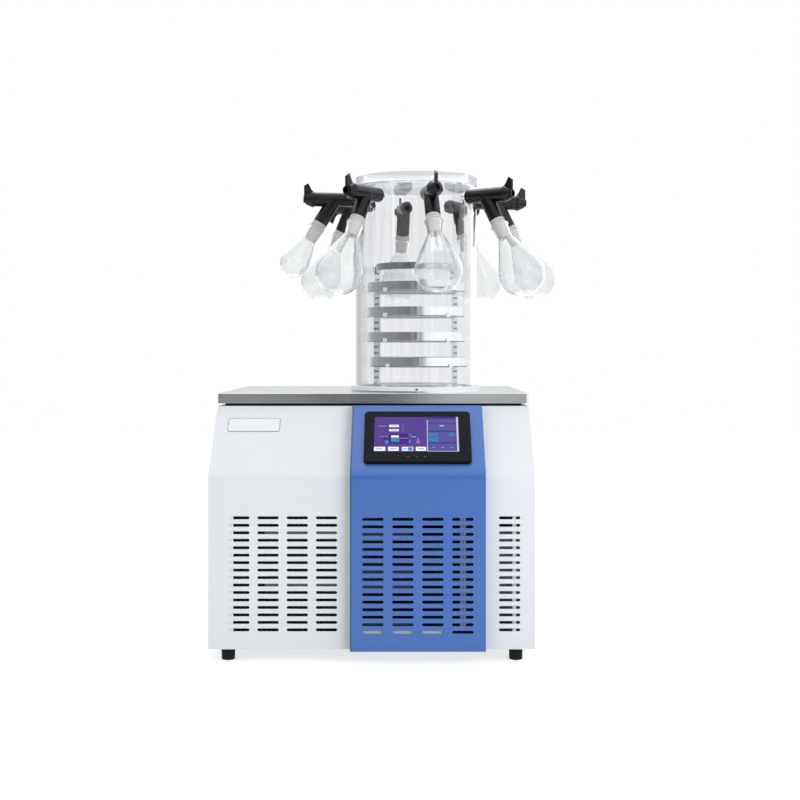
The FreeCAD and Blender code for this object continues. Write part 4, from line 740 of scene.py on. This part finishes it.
# %% [markdown]
# ## Ribs on the soft adaptors
# Between a valve and its flask sits a moulded silicone adaptor. Its collar has soft
# ribs so that fingers can pull it off. One tree makes a ring, a circle swept along a
# larger circle, and puts it at every height on all eight collars.

# %% Adaptor ribs
RIB_HEIGHTS = (60.8, 63.0, 67.6)
RIB_SIZES = {"Ring radius": 14.3 * MM, "Rib radius": 1.1 * MM, "Steps": 48}

rib_tree, entry, leave = sized_tree("collar_ribs", RIB_SIZES)
line = add_node(rib_tree, "GeometryNodeCurvePrimitiveCircle", {
    "Resolution": entry.outputs["Steps"], "Radius": entry.outputs["Ring radius"],
})
section = add_node(rib_tree, "GeometryNodeCurvePrimitiveCircle", {
    "Resolution": 10, "Radius": entry.outputs["Rib radius"],
})
ring_shape = add_node(rib_tree, "GeometryNodeCurveToMesh", {
    "Curve": line.outputs["Curve"], "Profile Curve": section.outputs["Curve"],
})
copies_on_points(rib_tree, entry, leave, ring_shape.outputs["Mesh"])

rib_places = []
for index in range(8):
    hang = branch_place(index)
    way = hang.to_3x3() @ Vector((0, 0, 1))
    rib_places += [(hang @ Vector((0, 0, height * MM)), way) for height in RIB_HEIGHTS]
rib_mesh = grow("collar_ribs", seed_points("rib_seed", rib_places), rib_tree,
                mouldings["cream_silicone_rubber"], RIB_SIZES)
add_piece("adaptor_ribs", rib_mesh)

# %% [markdown]
# ## Rings under the trays
# A thin black ring runs round the foot of each tray. It is painted shade: it draws the
# thin dark shadow line under each tray. The same tree makes these rings, wider and
# thinner.

# %% Shadow rings under the trays
SHADOW_RING_R = 0.6
SHADOW_RING_INSET = 0.35
SHADOW_RING_RISE = 0.7

shadow_ring_places = []
for name in ("tray_1", "tray_2", "tray_3", "tray_4"):
    tray_low, tray_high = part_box(name)
    middle = (tray_low + tray_high) / 2
    foot = Vector((middle.x, middle.y, tray_low.z + SHADOW_RING_RISE * MM))
    shadow_ring_places.append((foot, Vector((0, 0, 1))))
tray_r = (tray_high.x - tray_low.x) / 2
# Painted shade: dark rings that stand for the shadow under the trays.
shadow_ring_mesh = grow("tray_shadow_rings", seed_points("shadow_ring_seed", shadow_ring_places), rib_tree,
                 mouldings["black_moulded_rubber"], {
    "Ring radius": tray_r - SHADOW_RING_INSET * MM, "Rib radius": SHADOW_RING_R * MM, "Steps": 128,
})
add_piece("tray_shadow_rings", shadow_ring_mesh)

# %% [markdown]
# ## Strips behind the punched posts
# A grey strip stands behind each punched post of the rack. It is painted shade: its
# face darkens the square holes seen from the front, as shade behind them would. Its
# other faces have the rack's finish, so the post looks like the rest of the rack from behind.

# %% Post strips
STRIP_ACROSS = (83.0, 94.2)     # the strip's edges, from the chamber's axis
STRIP_BACK = 71.4
STRIP_THICKNESS = 0.9
STRIP_SHORTER = 8.0             # than the rack is high

rack_low, rack_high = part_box("rack_frame")
strips = bmesh.new()
for side in (-1, 1):
    near, far = sorted(AXIS_X + side * reach * MM for reach in STRIP_ACROSS)
    middle = Vector(((near + far) / 2, AXIS_Y + STRIP_BACK * MM + 0.5 * MM,
                     (rack_low.z + rack_high.z) / 2 + 1 * MM))
    size = Vector((far - near, STRIP_THICKNESS * MM,
                   rack_high.z - rack_low.z - STRIP_SHORTER * MM))
    rounded_box(strips, middle, size, 0.2 * MM, 2)
strips.normal_update()
for face in strips.faces:
    face.material_index = 0 if face.normal.y < -0.5 else 1
strip_mesh = as_mesh(strips, "post_strips")
# Painted shade: the grey face that darkens the post's holes.
hole_shade_finish = finish_surface(
    "grey_hole_shade_sheet", ("#85898D", "#919599"), (0.55, 0.68), 0.8, bump=0.01)
for finish in (hole_shade_finish, rack_steel):
    strip_mesh.materials.append(finish)
add_piece("post_strips", strip_mesh)

# %% [markdown]
# ## The pull tab of the base ring
# A small dark tab at the front of the ring lets the rubber be lifted off the plate.

# %% Ring tab
TAB_SIZE = (5.0, 2.4, 3.0)
TAB_PROUD = 0.4
TAB_RISE = 3.4

seal_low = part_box("chamber_seal")[0]
tab = bmesh.new()
rounded_box(tab, Vector((AXIS_X, seal_low.y - TAB_PROUD * MM, seal_low.z + TAB_RISE * MM)),
            Vector([length * MM for length in TAB_SIZE]), 0.5 * MM, 3)
tab_rubber = finish_surface(
    "dark_EPDM_tab", ("#3A3C3F", "#45474A"), (0.55, 0.68), 0.8, bump=0.01)
add_piece("ring_tab", tab, tab_rubber)

# %% [markdown]
# ## Panel screws
# The rear sheet is held by low pan-head screws, 7 mm across, with a round drive. The
# tree raises a disc in steps: up for the head, in for its rounded edge, in again for the
# drive, and down into it.

# %% Screws of the rear sheet
HEAD_SIZES = {"Head radius": 3.5 * MM, "Head height": 1.6 * MM}
HEAD_STEPS = [(0.6, 1.0), (0.3, 0.88), (0.1, 0.7), (0.0, 0.62), (-0.55, 0.94)]
SCREW_PLACES = (
    [(x, z) for x in (-292, -100, 100, 292) for z in (36, 468)]
    + [(x, z) for z in (180, 324) for x in (-292, 292)]
)

screw_tree, entry, leave = sized_tree("pan_heads", HEAD_SIZES)
disc = add_node(screw_tree, "GeometryNodeMeshCircle", {
    "Vertices": 24, "Radius": entry.outputs["Head radius"],
}, fill_type="NGON")
under = add_node(screw_tree, "GeometryNodeFlipFaces", {"Mesh": disc.outputs["Mesh"]})
shape, top = disc.outputs["Mesh"], True
for rise, narrowing in HEAD_STEPS:
    lift = add_node(screw_tree, "ShaderNodeMath", {0: entry.outputs["Head height"], 1: rise},
                    operation="MULTIPLY")
    raised = add_node(screw_tree, "GeometryNodeExtrudeMesh", {
        "Mesh": shape, "Offset Scale": lift, "Selection": top,
    }, mode="FACES")
    top = raised.outputs["Top"]
    shape = add_node(screw_tree, "GeometryNodeScaleElements", {
        "Geometry": raised.outputs["Mesh"], "Selection": top, "Scale": narrowing,
    }, domain="FACE").outputs["Geometry"]
copies_on_points(screw_tree, entry, leave, weld_halves(screw_tree, shape, under.outputs["Mesh"]))

zinc = finish_surface(
    "bright_zinc_plated_steel", ("#8E9296", "#A2A6A9"), (0.22, 0.34), 0.5, Metallic=1.0)
rear_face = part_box("rear_panel")[1].y
screw_seed = seed_points("screw_seed", [
    (Vector((x * MM, rear_face, z * MM)), Vector((0, 1, 0))) for x, z in SCREW_PLACES])
add_piece("panel_screws", grow("pan_heads", screw_seed, screw_tree, zinc, HEAD_SIZES))

# %% [markdown]
# ## The filter mat behind the rear vents
# A pleated foam mat behind the vents keeps dust out of the machine, and daylight too.
# The tree folds a flat grid into pleats with a ping-pong wave, then gives the folded
# sheet its thickness.

# %% Pleated filter
FILTER_SIZES = {"Width": 222 * MM, "Height": 136 * MM, "Pleat": 6 * MM, "Depth": 4 * MM,
                "Thickness": 3 * MM}
FILTER_X, FILTER_Z = 130, 134
FILTER_BEHIND = 1.6

filter_tree, entry, leave = sized_tree("pleated_mat", FILTER_SIZES)
size = entry.outputs
pleats = add_node(filter_tree, "ShaderNodeMath", {0: size["Width"], 1: size["Pleat"]},
                  operation="DIVIDE")
columns = add_node(filter_tree, "ShaderNodeMath", {0: pleats, 1: 2.0, 2: 1.0},
                   operation="MULTIPLY_ADD")
sheet = add_node(filter_tree, "GeometryNodeMeshGrid", {
    "Size X": size["Width"], "Size Y": size["Height"], "Vertices X": columns, "Vertices Y": 2,
})
where = add_node(filter_tree, "GeometryNodeInputPosition")
parts = add_node(filter_tree, "ShaderNodeSeparateXYZ", {"Vector": where.outputs["Position"]})
from_edge = add_node(filter_tree, "ShaderNodeMath", {
    0: size["Width"], 1: 0.5, 2: parts.outputs["X"],
}, operation="MULTIPLY_ADD")
half = add_node(filter_tree, "ShaderNodeMath", {0: size["Pleat"], 1: 0.5}, operation="MULTIPLY")
wave = add_node(filter_tree, "ShaderNodeMath", {0: from_edge, 1: half}, operation="PINGPONG")
steep = add_node(filter_tree, "ShaderNodeMath", {0: size["Depth"], 1: half}, operation="DIVIDE")
rise = add_node(filter_tree, "ShaderNodeMath", {0: wave, 1: steep}, operation="MULTIPLY")
shift = add_node(filter_tree, "ShaderNodeCombineXYZ", {"Z": rise})
folded = add_node(filter_tree, "GeometryNodeSetPosition", {
    "Geometry": sheet.outputs["Mesh"], "Offset": shift.outputs["Vector"],
}).outputs["Geometry"]
back = add_node(filter_tree, "GeometryNodeFlipFaces", {"Mesh": folded})
thick = add_node(filter_tree, "GeometryNodeExtrudeMesh", {
    "Mesh": folded, "Offset": (0.0, 0.0, 1.0), "Offset Scale": size["Thickness"],
    "Individual": False,
}, mode="FACES")
finish_tree(filter_tree, entry, leave,
            weld_halves(filter_tree, thick.outputs["Mesh"], back.outputs["Mesh"]))

filter_mesh = grow("pleated_mat", bpy.data.meshes.new("filter_seed"), filter_tree,
                   mouldings["black_nitrile_foam"], FILTER_SIZES)
filter_mesh.transform(
    Matrix.Translation((FILTER_X * MM, rear_face - FILTER_BEHIND * MM, FILTER_Z * MM))
    @ Matrix.Rotation(math.radians(90), 4, "X"))
add_piece("rear_vent_filter", filter_mesh)

# %% [markdown]
# ## A shallow channel
# A light frame of folded strips stiffens the front. Each strip is a shallow channel: two
# feet against the sheet and a web that stands off it. Its outline is drawn across the
# strip, set at both ends and joined.

# %% Channels
SHEET = 1.5
BEHIND_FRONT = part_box("front_panel")[0].y / MM + SHEET
BEHIND_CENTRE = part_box("centre_panel")[0].y / MM + SHEET
STRIP_T = 0.8
STRIP_GAP = 0.05


def channel_outline(width, depth, foot_width):
    """The outline of a channel: its feet, its flanks and its web."""
    half, foot = width / 2, width / 2 + foot_width
    return [(-foot, 0), (-half, 0), (-half + 1, depth), (half - 1, depth), (half, 0), (foot, 0),
            (foot, STRIP_T), (half + 0.5, STRIP_T), (half - 0.5, depth + STRIP_T),
            (-half + 0.5, depth + STRIP_T), (-half - 0.5, STRIP_T), (-foot, STRIP_T)]


def add_channel(work, upright, fixed, start, end, width, behind=BEHIND_FRONT, depth=1.0,
                foot=4.0):
    """A channel behind a sheet, upright at an x or level at a z, in millimetres."""
    ends = []
    for along in (start, end):
        ring = []
        for across, back in channel_outline(width, depth, foot):
            x, z = (fixed + across, along) if upright else (along, fixed + across)
            ring.append(work.verts.new((x * MM, (behind + STRIP_GAP + back) * MM, z * MM)))
        ends.append(ring)
    stack_rings(work, ends[::-1])


def add_frame(name, channels, material):
    """Makes a piece out of channels, each given as add_channel takes it."""
    work = bmesh.new()
    for channel in channels:
        add_channel(work, *channel)
    bmesh.ops.recalc_face_normals(work, faces=work.faces)
    add_piece(name, work, material)


# %% [markdown]
# ## The inner frame behind the slots
# Four level rails show as grey rows through the slots, and one upright shows in the
# middle panel. They are primed grey. Three strips are painted white with their sheet:
# the sill behind the middle panel's lowest row, and the outer upright on each side.

# %% Inner frame and sill
ROW = 14.07
FIRST_ROW = 62.5
RAIL_W, UPRIGHT_W = 7.0, 3.0
LONG_RAIL, SHORT_RAIL = (-202, 76), (-20, 82)

grey_primer = finish_surface(
    "grey_steel_primer", ("#5E6268", "#696D73"), (0.5, 0.62), 2.0, bump=0.01)
rails = [
    (False, FIRST_ROW + row * ROW, *ends, RAIL_W, BEHIND_FRONT, 3.0)
    for row, ends in ((13, LONG_RAIL), (8, SHORT_RAIL), (6, LONG_RAIL), (1, SHORT_RAIL))
]
add_frame("inner_frame", rails + [(True, 171.5, 70, 292, UPRIGHT_W, BEHIND_CENTRE)],
          grey_primer)
add_frame("inner_sill", [
    (False, FIRST_ROW, -30, 142, RAIL_W, BEHIND_CENTRE + 4.0),
    (True, -266.5, 50, 292, UPRIGHT_W),
    (True, 269.3, 50, 292, UPRIGHT_W, BEHIND_FRONT + 3.0, 1.0, 2.0),
], paints["white_powder_coat"])

# %% [markdown]
# ## The slanted front
# The screen, its keys and the nameplate lie on the slanted part of the front. Places on
# it are given along three directions: to the right, up the slant and out of it.

# %% The slant
SLOPE_RUN, SLOPE_RISE = 125.0, 127.0

lean = math.atan2(SLOPE_RISE, SLOPE_RUN)
UP = Vector((0, math.cos(lean), math.sin(lean)))
OUT = Vector((0, -math.sin(lean), math.cos(lean)))
RIGHT = Vector((1, 0, 0))
screen_left, screen_right = span("display_screen", RIGHT)
screen_bottom, screen_top = span("display_screen", UP)
screen_face = span("display_screen", OUT)[1]


def on_slant(work, right, up, out):
    """A new point on the slanted front, in metres."""
    return work.verts.new(RIGHT * right + UP * up + OUT * out)


print("slant at %.1f degrees" % math.degrees(lean))
print("screen %.0f x %.0f mm" % (
    (screen_right - screen_left) / MM, (screen_top - screen_bottom) / MM))

# %% [markdown]
# ## The colours of the screen
# Each colour of the page is lit from behind through the cover glass: it glows a little,
# under a glossy face, with the fine grid of the display's dots.

# %% Lit colours
DOT_MM = 1.2
DOT_SHADE = 0.93
PAGE_COLOURS = {
    "ground": "#4E3789", "panel": "#504C95", "deep": "#401775", "white": "#F0EEF4",
    "cyan": "#3280BC", "teal": "#2A78A6", "line": "#C9BCD6", "dark": "#2C2348",
    "dash": "#8E88A6", "pink": "#9068B0",
}


def lit_panel(name, colour, glow):
    """A screen colour: a glossy face over an even glow with a fine grid of dots."""
    material, tree, output = new_material(name)
    place = add_node(tree, "ShaderNodeTexCoord")
    grid = add_node(tree, "ShaderNodeTexChecker", {
        "Vector": place.outputs["Object"], "Scale": 1 / (DOT_MM * MM),
    })
    shade = tuple(c * DOT_SHADE for c in linear(colour)[:3]) + (1.0,)
    tone = add_node(tree, "ShaderNodeMix", {
        0: grid.outputs["Fac"], 6: linear(colour), 7: shade,
    }, data_type="RGBA").outputs[2]
    shader = add_node(tree, "ShaderNodeBsdfPrincipled", {
        "Base Color": tone, "Roughness": 0.12, "Emission Color": tone,
        "Emission Strength": glow, SPECULAR: 0.15,
    })
    tree.links.new(shader.outputs["BSDF"], output.inputs["Surface"])
    return material


page_materials = {
    key: lit_panel("screen_" + key, value, 0.2) for key, value in PAGE_COLOURS.items()}
dress(page_materials["dark"], "display_screen")

# %% [markdown]
# ## The page on the screen
# The screen shows a plain control page: a purple ground, a drawing of a vessel, a row of
# buttons and a side panel. It is built from thin flat shapes, so it needs no image.
# Short bars stand for lines of text. Each shape is a hair thicker than the one before,
# so a later one lies on top.

# %% Screen page
PAGE_BOXES = [        # colour, left, top, right and bottom, in thousandths of the glass
    ("ground", 0, 0, 1000, 1000), ("panel", 637, 15, 967, 970), ("line", 975, 0, 997, 1000),
    ("line", 624, 90, 633, 1000), ("line", 633, 985, 975, 1000), ("dash", 40, 260, 150, 280),
    ("dash", 60, 560, 170, 575), ("dash", 335, 170, 340, 420), ("white", 175, 230, 290, 300),
    ("white", 175, 360, 290, 420), ("dash", 200, 255, 270, 275), ("dash", 200, 380, 270, 400),
    ("deep", 170, 500, 400, 780), ("deep", 110, 600, 170, 780), ("dash", 300, 615, 400, 630),
    ("white", 200, 545, 290, 600), ("cyan", 200, 610, 297, 730), ("cyan", 410, 500, 435, 555),
    ("cyan", 410, 690, 435, 755), ("line", 435, 575, 495, 590), ("white", 0, 870, 132, 985),
    ("white", 165, 870, 290, 985), ("white", 327, 870, 460, 985), ("cyan", 398, 880, 452, 975),
    ("white", 490, 870, 612, 985), ("dash", 20, 915, 100, 940), ("dash", 190, 915, 260, 940),
    ("dash", 340, 915, 385, 940), ("dash", 510, 915, 590, 940), ("deep", 637, 15, 967, 55),
    ("dark", 637, 180, 967, 195), ("dark", 637, 410, 967, 430), ("dark", 637, 750, 967, 770),
    ("line", 775, 250, 830, 275), ("teal", 645, 475, 750, 565), ("teal", 645, 600, 753, 720),
    ("teal", 877, 475, 950, 565), ("dash", 690, 875, 715, 900), ("dash", 790, 875, 820, 900),
    ("dash", 900, 875, 925, 900),
]
PAGE_T = 0.05
PAGE_LIFT = 0.003

page_shapes = []
for key, *sides in PAGE_BOXES:
    x0, y0, x1, y1 = [side / 1000 for side in sides]
    page_shapes.append((key, [(x0, y1), (x1, y1), (x1, y0), (x0, y0)]))
page_shapes.append(("pink", [(0.49, 0.77), (0.545, 0.77), (0.5175, 0.60)]))
page_shapes.append(("cyan", [
    (0.147 + x, 0.735 - 2.4 * y) for x, y in arc_points((0, 0), 0.024, 0, 345, 24)]))
page = bmesh.new()
page_keys = list(PAGE_COLOURS)
for level, (key, outline) in enumerate(page_shapes):
    thickness = PAGE_T if key == "ground" else 2 * PAGE_T + PAGE_LIFT * level
    layers = [[
        on_slant(page, screen_left + (screen_right - screen_left) * x,
                 screen_top - (screen_top - screen_bottom) * y, screen_face + lift)
        for x, y in outline] for lift in (0.0, thickness * MM)]
    for face in stack_rings(page, layers):
        face.material_index = page_keys.index(key)
page_mesh = as_mesh(page, "screen_page")
for key in page_keys:
    page_mesh.materials.append(page_materials[key])
add_piece("screen_page", page_mesh)

# %% [markdown]
# ## Three key dots
# Below the screen, three small round keys stand in the frame. Each is a low button with
# a bevelled edge, a shade lighter than the frame.

# %% Bezel keys
KEY_R = 1.3
KEY_POINTS = 18
KEY_SHARES = (0.41, 0.49, 0.57)         # of the frame's width
KEY_RINGS = ((0.0, KEY_R), (0.05, KEY_R), (0.12, KEY_R - 0.12))

bezel_left, bezel_right = span("display_bezel", RIGHT)
bezel_bottom, bezel_face = span("display_bezel", UP)[0], span("display_bezel", OUT)[1]
key_work = bmesh.new()
for share in KEY_SHARES:
    x = bezel_left + (bezel_right - bezel_left) * share
    u = (bezel_bottom + screen_bottom) / 2
    stack_rings(key_work, [[
        on_slant(key_work, x + a * MM, u + b * MM, bezel_face + lift * MM)
        for a, b in arc_points((0, 0), radius, 0, 340, KEY_POINTS)] for lift, radius in KEY_RINGS])
key_plastic = finish_surface(
    "grey_ABS_key_dots", ("#4A4F57", "#535860"), (0.3, 0.4), 0.6, bump=0.004)
add_piece("bezel_keys", key_work, key_plastic)

# %% [markdown]
# ## The blank nameplate
# The plate at the top left is a thin aluminium badge with a white enamelled face. It
# carries no name here, so only the face is made: a thin slab with rounded corners, a
# little smaller than the plate.

# %% Nameplate face
RIM = 1.2
FACE_R = 3.0
FACE_T = 0.1

name_left, name_right = span("nameplate", RIGHT)
name_bottom, name_top = span("nameplate", UP)
name_face = span("nameplate", OUT)[1]
enamel = finish_surface(
    "white_enamel_badge", ("#EDEEF2", "#F3F4F6"), (0.2, 0.28), 1.0, bump=0.004)

inset, corner = RIM * MM, FACE_R * MM
left, right = name_left + inset + corner, name_right - inset - corner
bottom, top = name_bottom + inset + corner, name_top - inset - corner
outline = []
for k, middle in enumerate(((right, top), (left, top), (left, bottom), (right, bottom))):
    outline += arc_points(middle, corner, 90 * k, 90 * k + 90, 8)
badge = bmesh.new()
stack_rings(badge, [
    [on_slant(badge, x, u, name_face + lift) for x, u in outline] for lift in (0.0, FACE_T * MM)])
add_piece("badge_face", badge, enamel)

# %% [markdown]
# ## The floor
# The machine stands on pale paper that catches its soft shadow. To the eye, to mirrors
# and through glass the paper also glows, so that it runs into the white background.

# %% Floor
FLOOR_HALF = 6.0
FLOOR_GLOW = 0.55

work = bmesh.new()
bmesh.ops.create_grid(work, x_segments=8, y_segments=8, size=FLOOR_HALF)
floor_mesh = as_mesh(work, "floor")
floor = place_object("floor", floor_mesh)
floor_paper, tree, output = new_material("pale_paper_floor")
ray = add_node(tree, "ShaderNodeLightPath").outputs
seen = ray["Is Camera Ray"]
for kind in ("Is Glossy Ray", "Is Transmission Ray"):
    seen = add_node(tree, "ShaderNodeMath", {0: seen, 1: ray[kind]}, operation="MAXIMUM")
glow = add_node(tree, "ShaderNodeMath", {0: seen, 1: FLOOR_GLOW}, operation="MULTIPLY")
tone = add_node(tree, "ShaderNodeMix", {
    0: position_noise(tree, 4.0), 6: linear("#E4E5E7"), 7: linear("#E9EAEB"),
}, data_type="RGBA")
shader = add_node(tree, "ShaderNodeBsdfPrincipled", {
    "Base Color": tone.outputs[2], "Roughness": 0.7, "Emission Color": (1, 1, 1, 1),
    "Emission Strength": glow,
})
tree.links.new(shader.outputs["BSDF"], output.inputs["Surface"])
floor_mesh.materials.append(floor_paper)
print("floor %.0f m wide" % (2 * FLOOR_HALF))

# %% [markdown]
# ## The room
# The background is white to the camera and through glass, and a soft sky lights the
# object at a plain level. What steel mirrors is a room: a ring of light and dark walls,
# given by their direction, and a bright ceiling. The room is dimmer where a viewer would
# stand, which gives steel and glass their darker reflections.

# %% World
SKY_PLAIN = (0.51, 0.52, 0.54, 1)
CEILING = (1.5, 1.52, 1.55, 1)
CEILING_FROM, CEILING_TO = 0.25, 0.7
ROOM = [        # degrees from the front, towards the right, and how bright the wall is
    (-180, 0.85), (-150, 0.85), (-125, 0.55), (-90, 0.45), (-36, 0.32), (-16, 0.26), (-9, 0.46),
    (-5, 0.42), (-2.0, 0.14), (0.3, 0.05), (1.7, 1.05), (4.2, 0.8), (8, 0.5), (14, 0.9),
    (20, 1.5), (60, 1.7), (130, 1.5), (165, 0.85), (180, 0.85),
]

world = bpy.data.worlds.new("studio")
scene.world = world
world.use_nodes = True
tree = world.node_tree
tree.nodes.clear()
output = tree.nodes.new("ShaderNodeOutputWorld")
place = add_node(tree, "ShaderNodeTexCoord")
axes = add_node(tree, "ShaderNodeSeparateXYZ", {"Vector": place.outputs["Generated"]}).outputs
front = add_node(tree, "ShaderNodeMath", {0: axes["Y"], 1: -1.0}, operation="MULTIPLY")
azimuth = add_node(tree, "ShaderNodeMath", {0: axes["X"], 1: front}, operation="ARCTAN2")
share = add_node(tree, "ShaderNodeMapRange", {
    "Value": azimuth, "From Min": -math.pi, "From Max": math.pi,
})
walls = add_node(tree, "ShaderNodeValToRGB", {"Fac": share})
ramp = walls.color_ramp
for k, (degrees, level) in enumerate(ROOM):
    position = (degrees + 180) / 360
    stop = ramp.elements[k] if k < 2 else ramp.elements.new(position)
    stop.position = position
    stop.color = (level, level, level, 1)
height = add_node(tree, "ShaderNodeMapRange", {
    "Value": axes["Z"], "From Min": CEILING_FROM, "From Max": CEILING_TO,
})
room = add_node(tree, "ShaderNodeMix", {0: height, 6: walls, 7: CEILING}, data_type="RGBA")
ray = add_node(tree, "ShaderNodeLightPath").outputs
lit = add_node(tree, "ShaderNodeMix", {
    0: ray["Is Glossy Ray"], 6: SKY_PLAIN, 7: room.outputs[2],
}, data_type="RGBA")
direct = add_node(tree, "ShaderNodeMath", {
    0: ray["Is Camera Ray"], 1: ray["Is Transmission Ray"],
}, operation="MAXIMUM")
shown = add_node(tree, "ShaderNodeMix", {
    0: direct, 6: lit.outputs[2], 7: (1, 1, 1, 1),
}, data_type="RGBA")
sky = add_node(tree, "ShaderNodeBackground", {"Color": shown.outputs[2], "Strength": 1.0})
tree.links.new(sky.outputs["Background"], output.inputs["Surface"])
print("walls:", len(ROOM))

# %% [markdown]
# ## The lamps
# A large soft lamp high on the right is the main light, a weaker one on the left fills
# the shadows, one above lights the lid and the plate, and one behind lights the rear.
# Those that would show as a blot in the glass are kept out of mirrors. Two small window
# lamps stay in them and put the bright spots on the flasks and valves.

# %% Lamps
AIM = Vector((0.0, 0.0, 0.45))
LAMPS = [       # name, place in metres, size in metres, watts, and if it shows in mirrors
    ("key", (1.9, -2.3, 1.4), 2.2, 36, False),
    ("window_right", (1.5, -2.2, 1.5), 0.55, 2.8, True),
    ("window_left", (-1.9, -1.9, 1.3), 0.5, 2.2, True),
    ("fill", (-2.6, -2.2, 1.6), 3.0, 16, False),
    ("top", (0.0, 0.7, 2.4), 1.2, 13, True),
    ("back", (0.4, 2.7, 1.5), 2.4, 14, False),
]

for name, place, size, watts, mirrored in LAMPS:
    data = bpy.data.lights.new(name, "AREA")
    data.shape = "SQUARE"
    data.size = size
    data.energy = watts
    lamp = bpy.data.objects.new(name, data)
    lamp.location = place
    lamp.rotation_euler = (AIM - Vector(place)).to_track_quat("-Z", "Y").to_euler()
    lamp.visible_glossy = mirrored
    lamp.visible_transmission = mirrored
    scene.collection.objects.link(lamp)
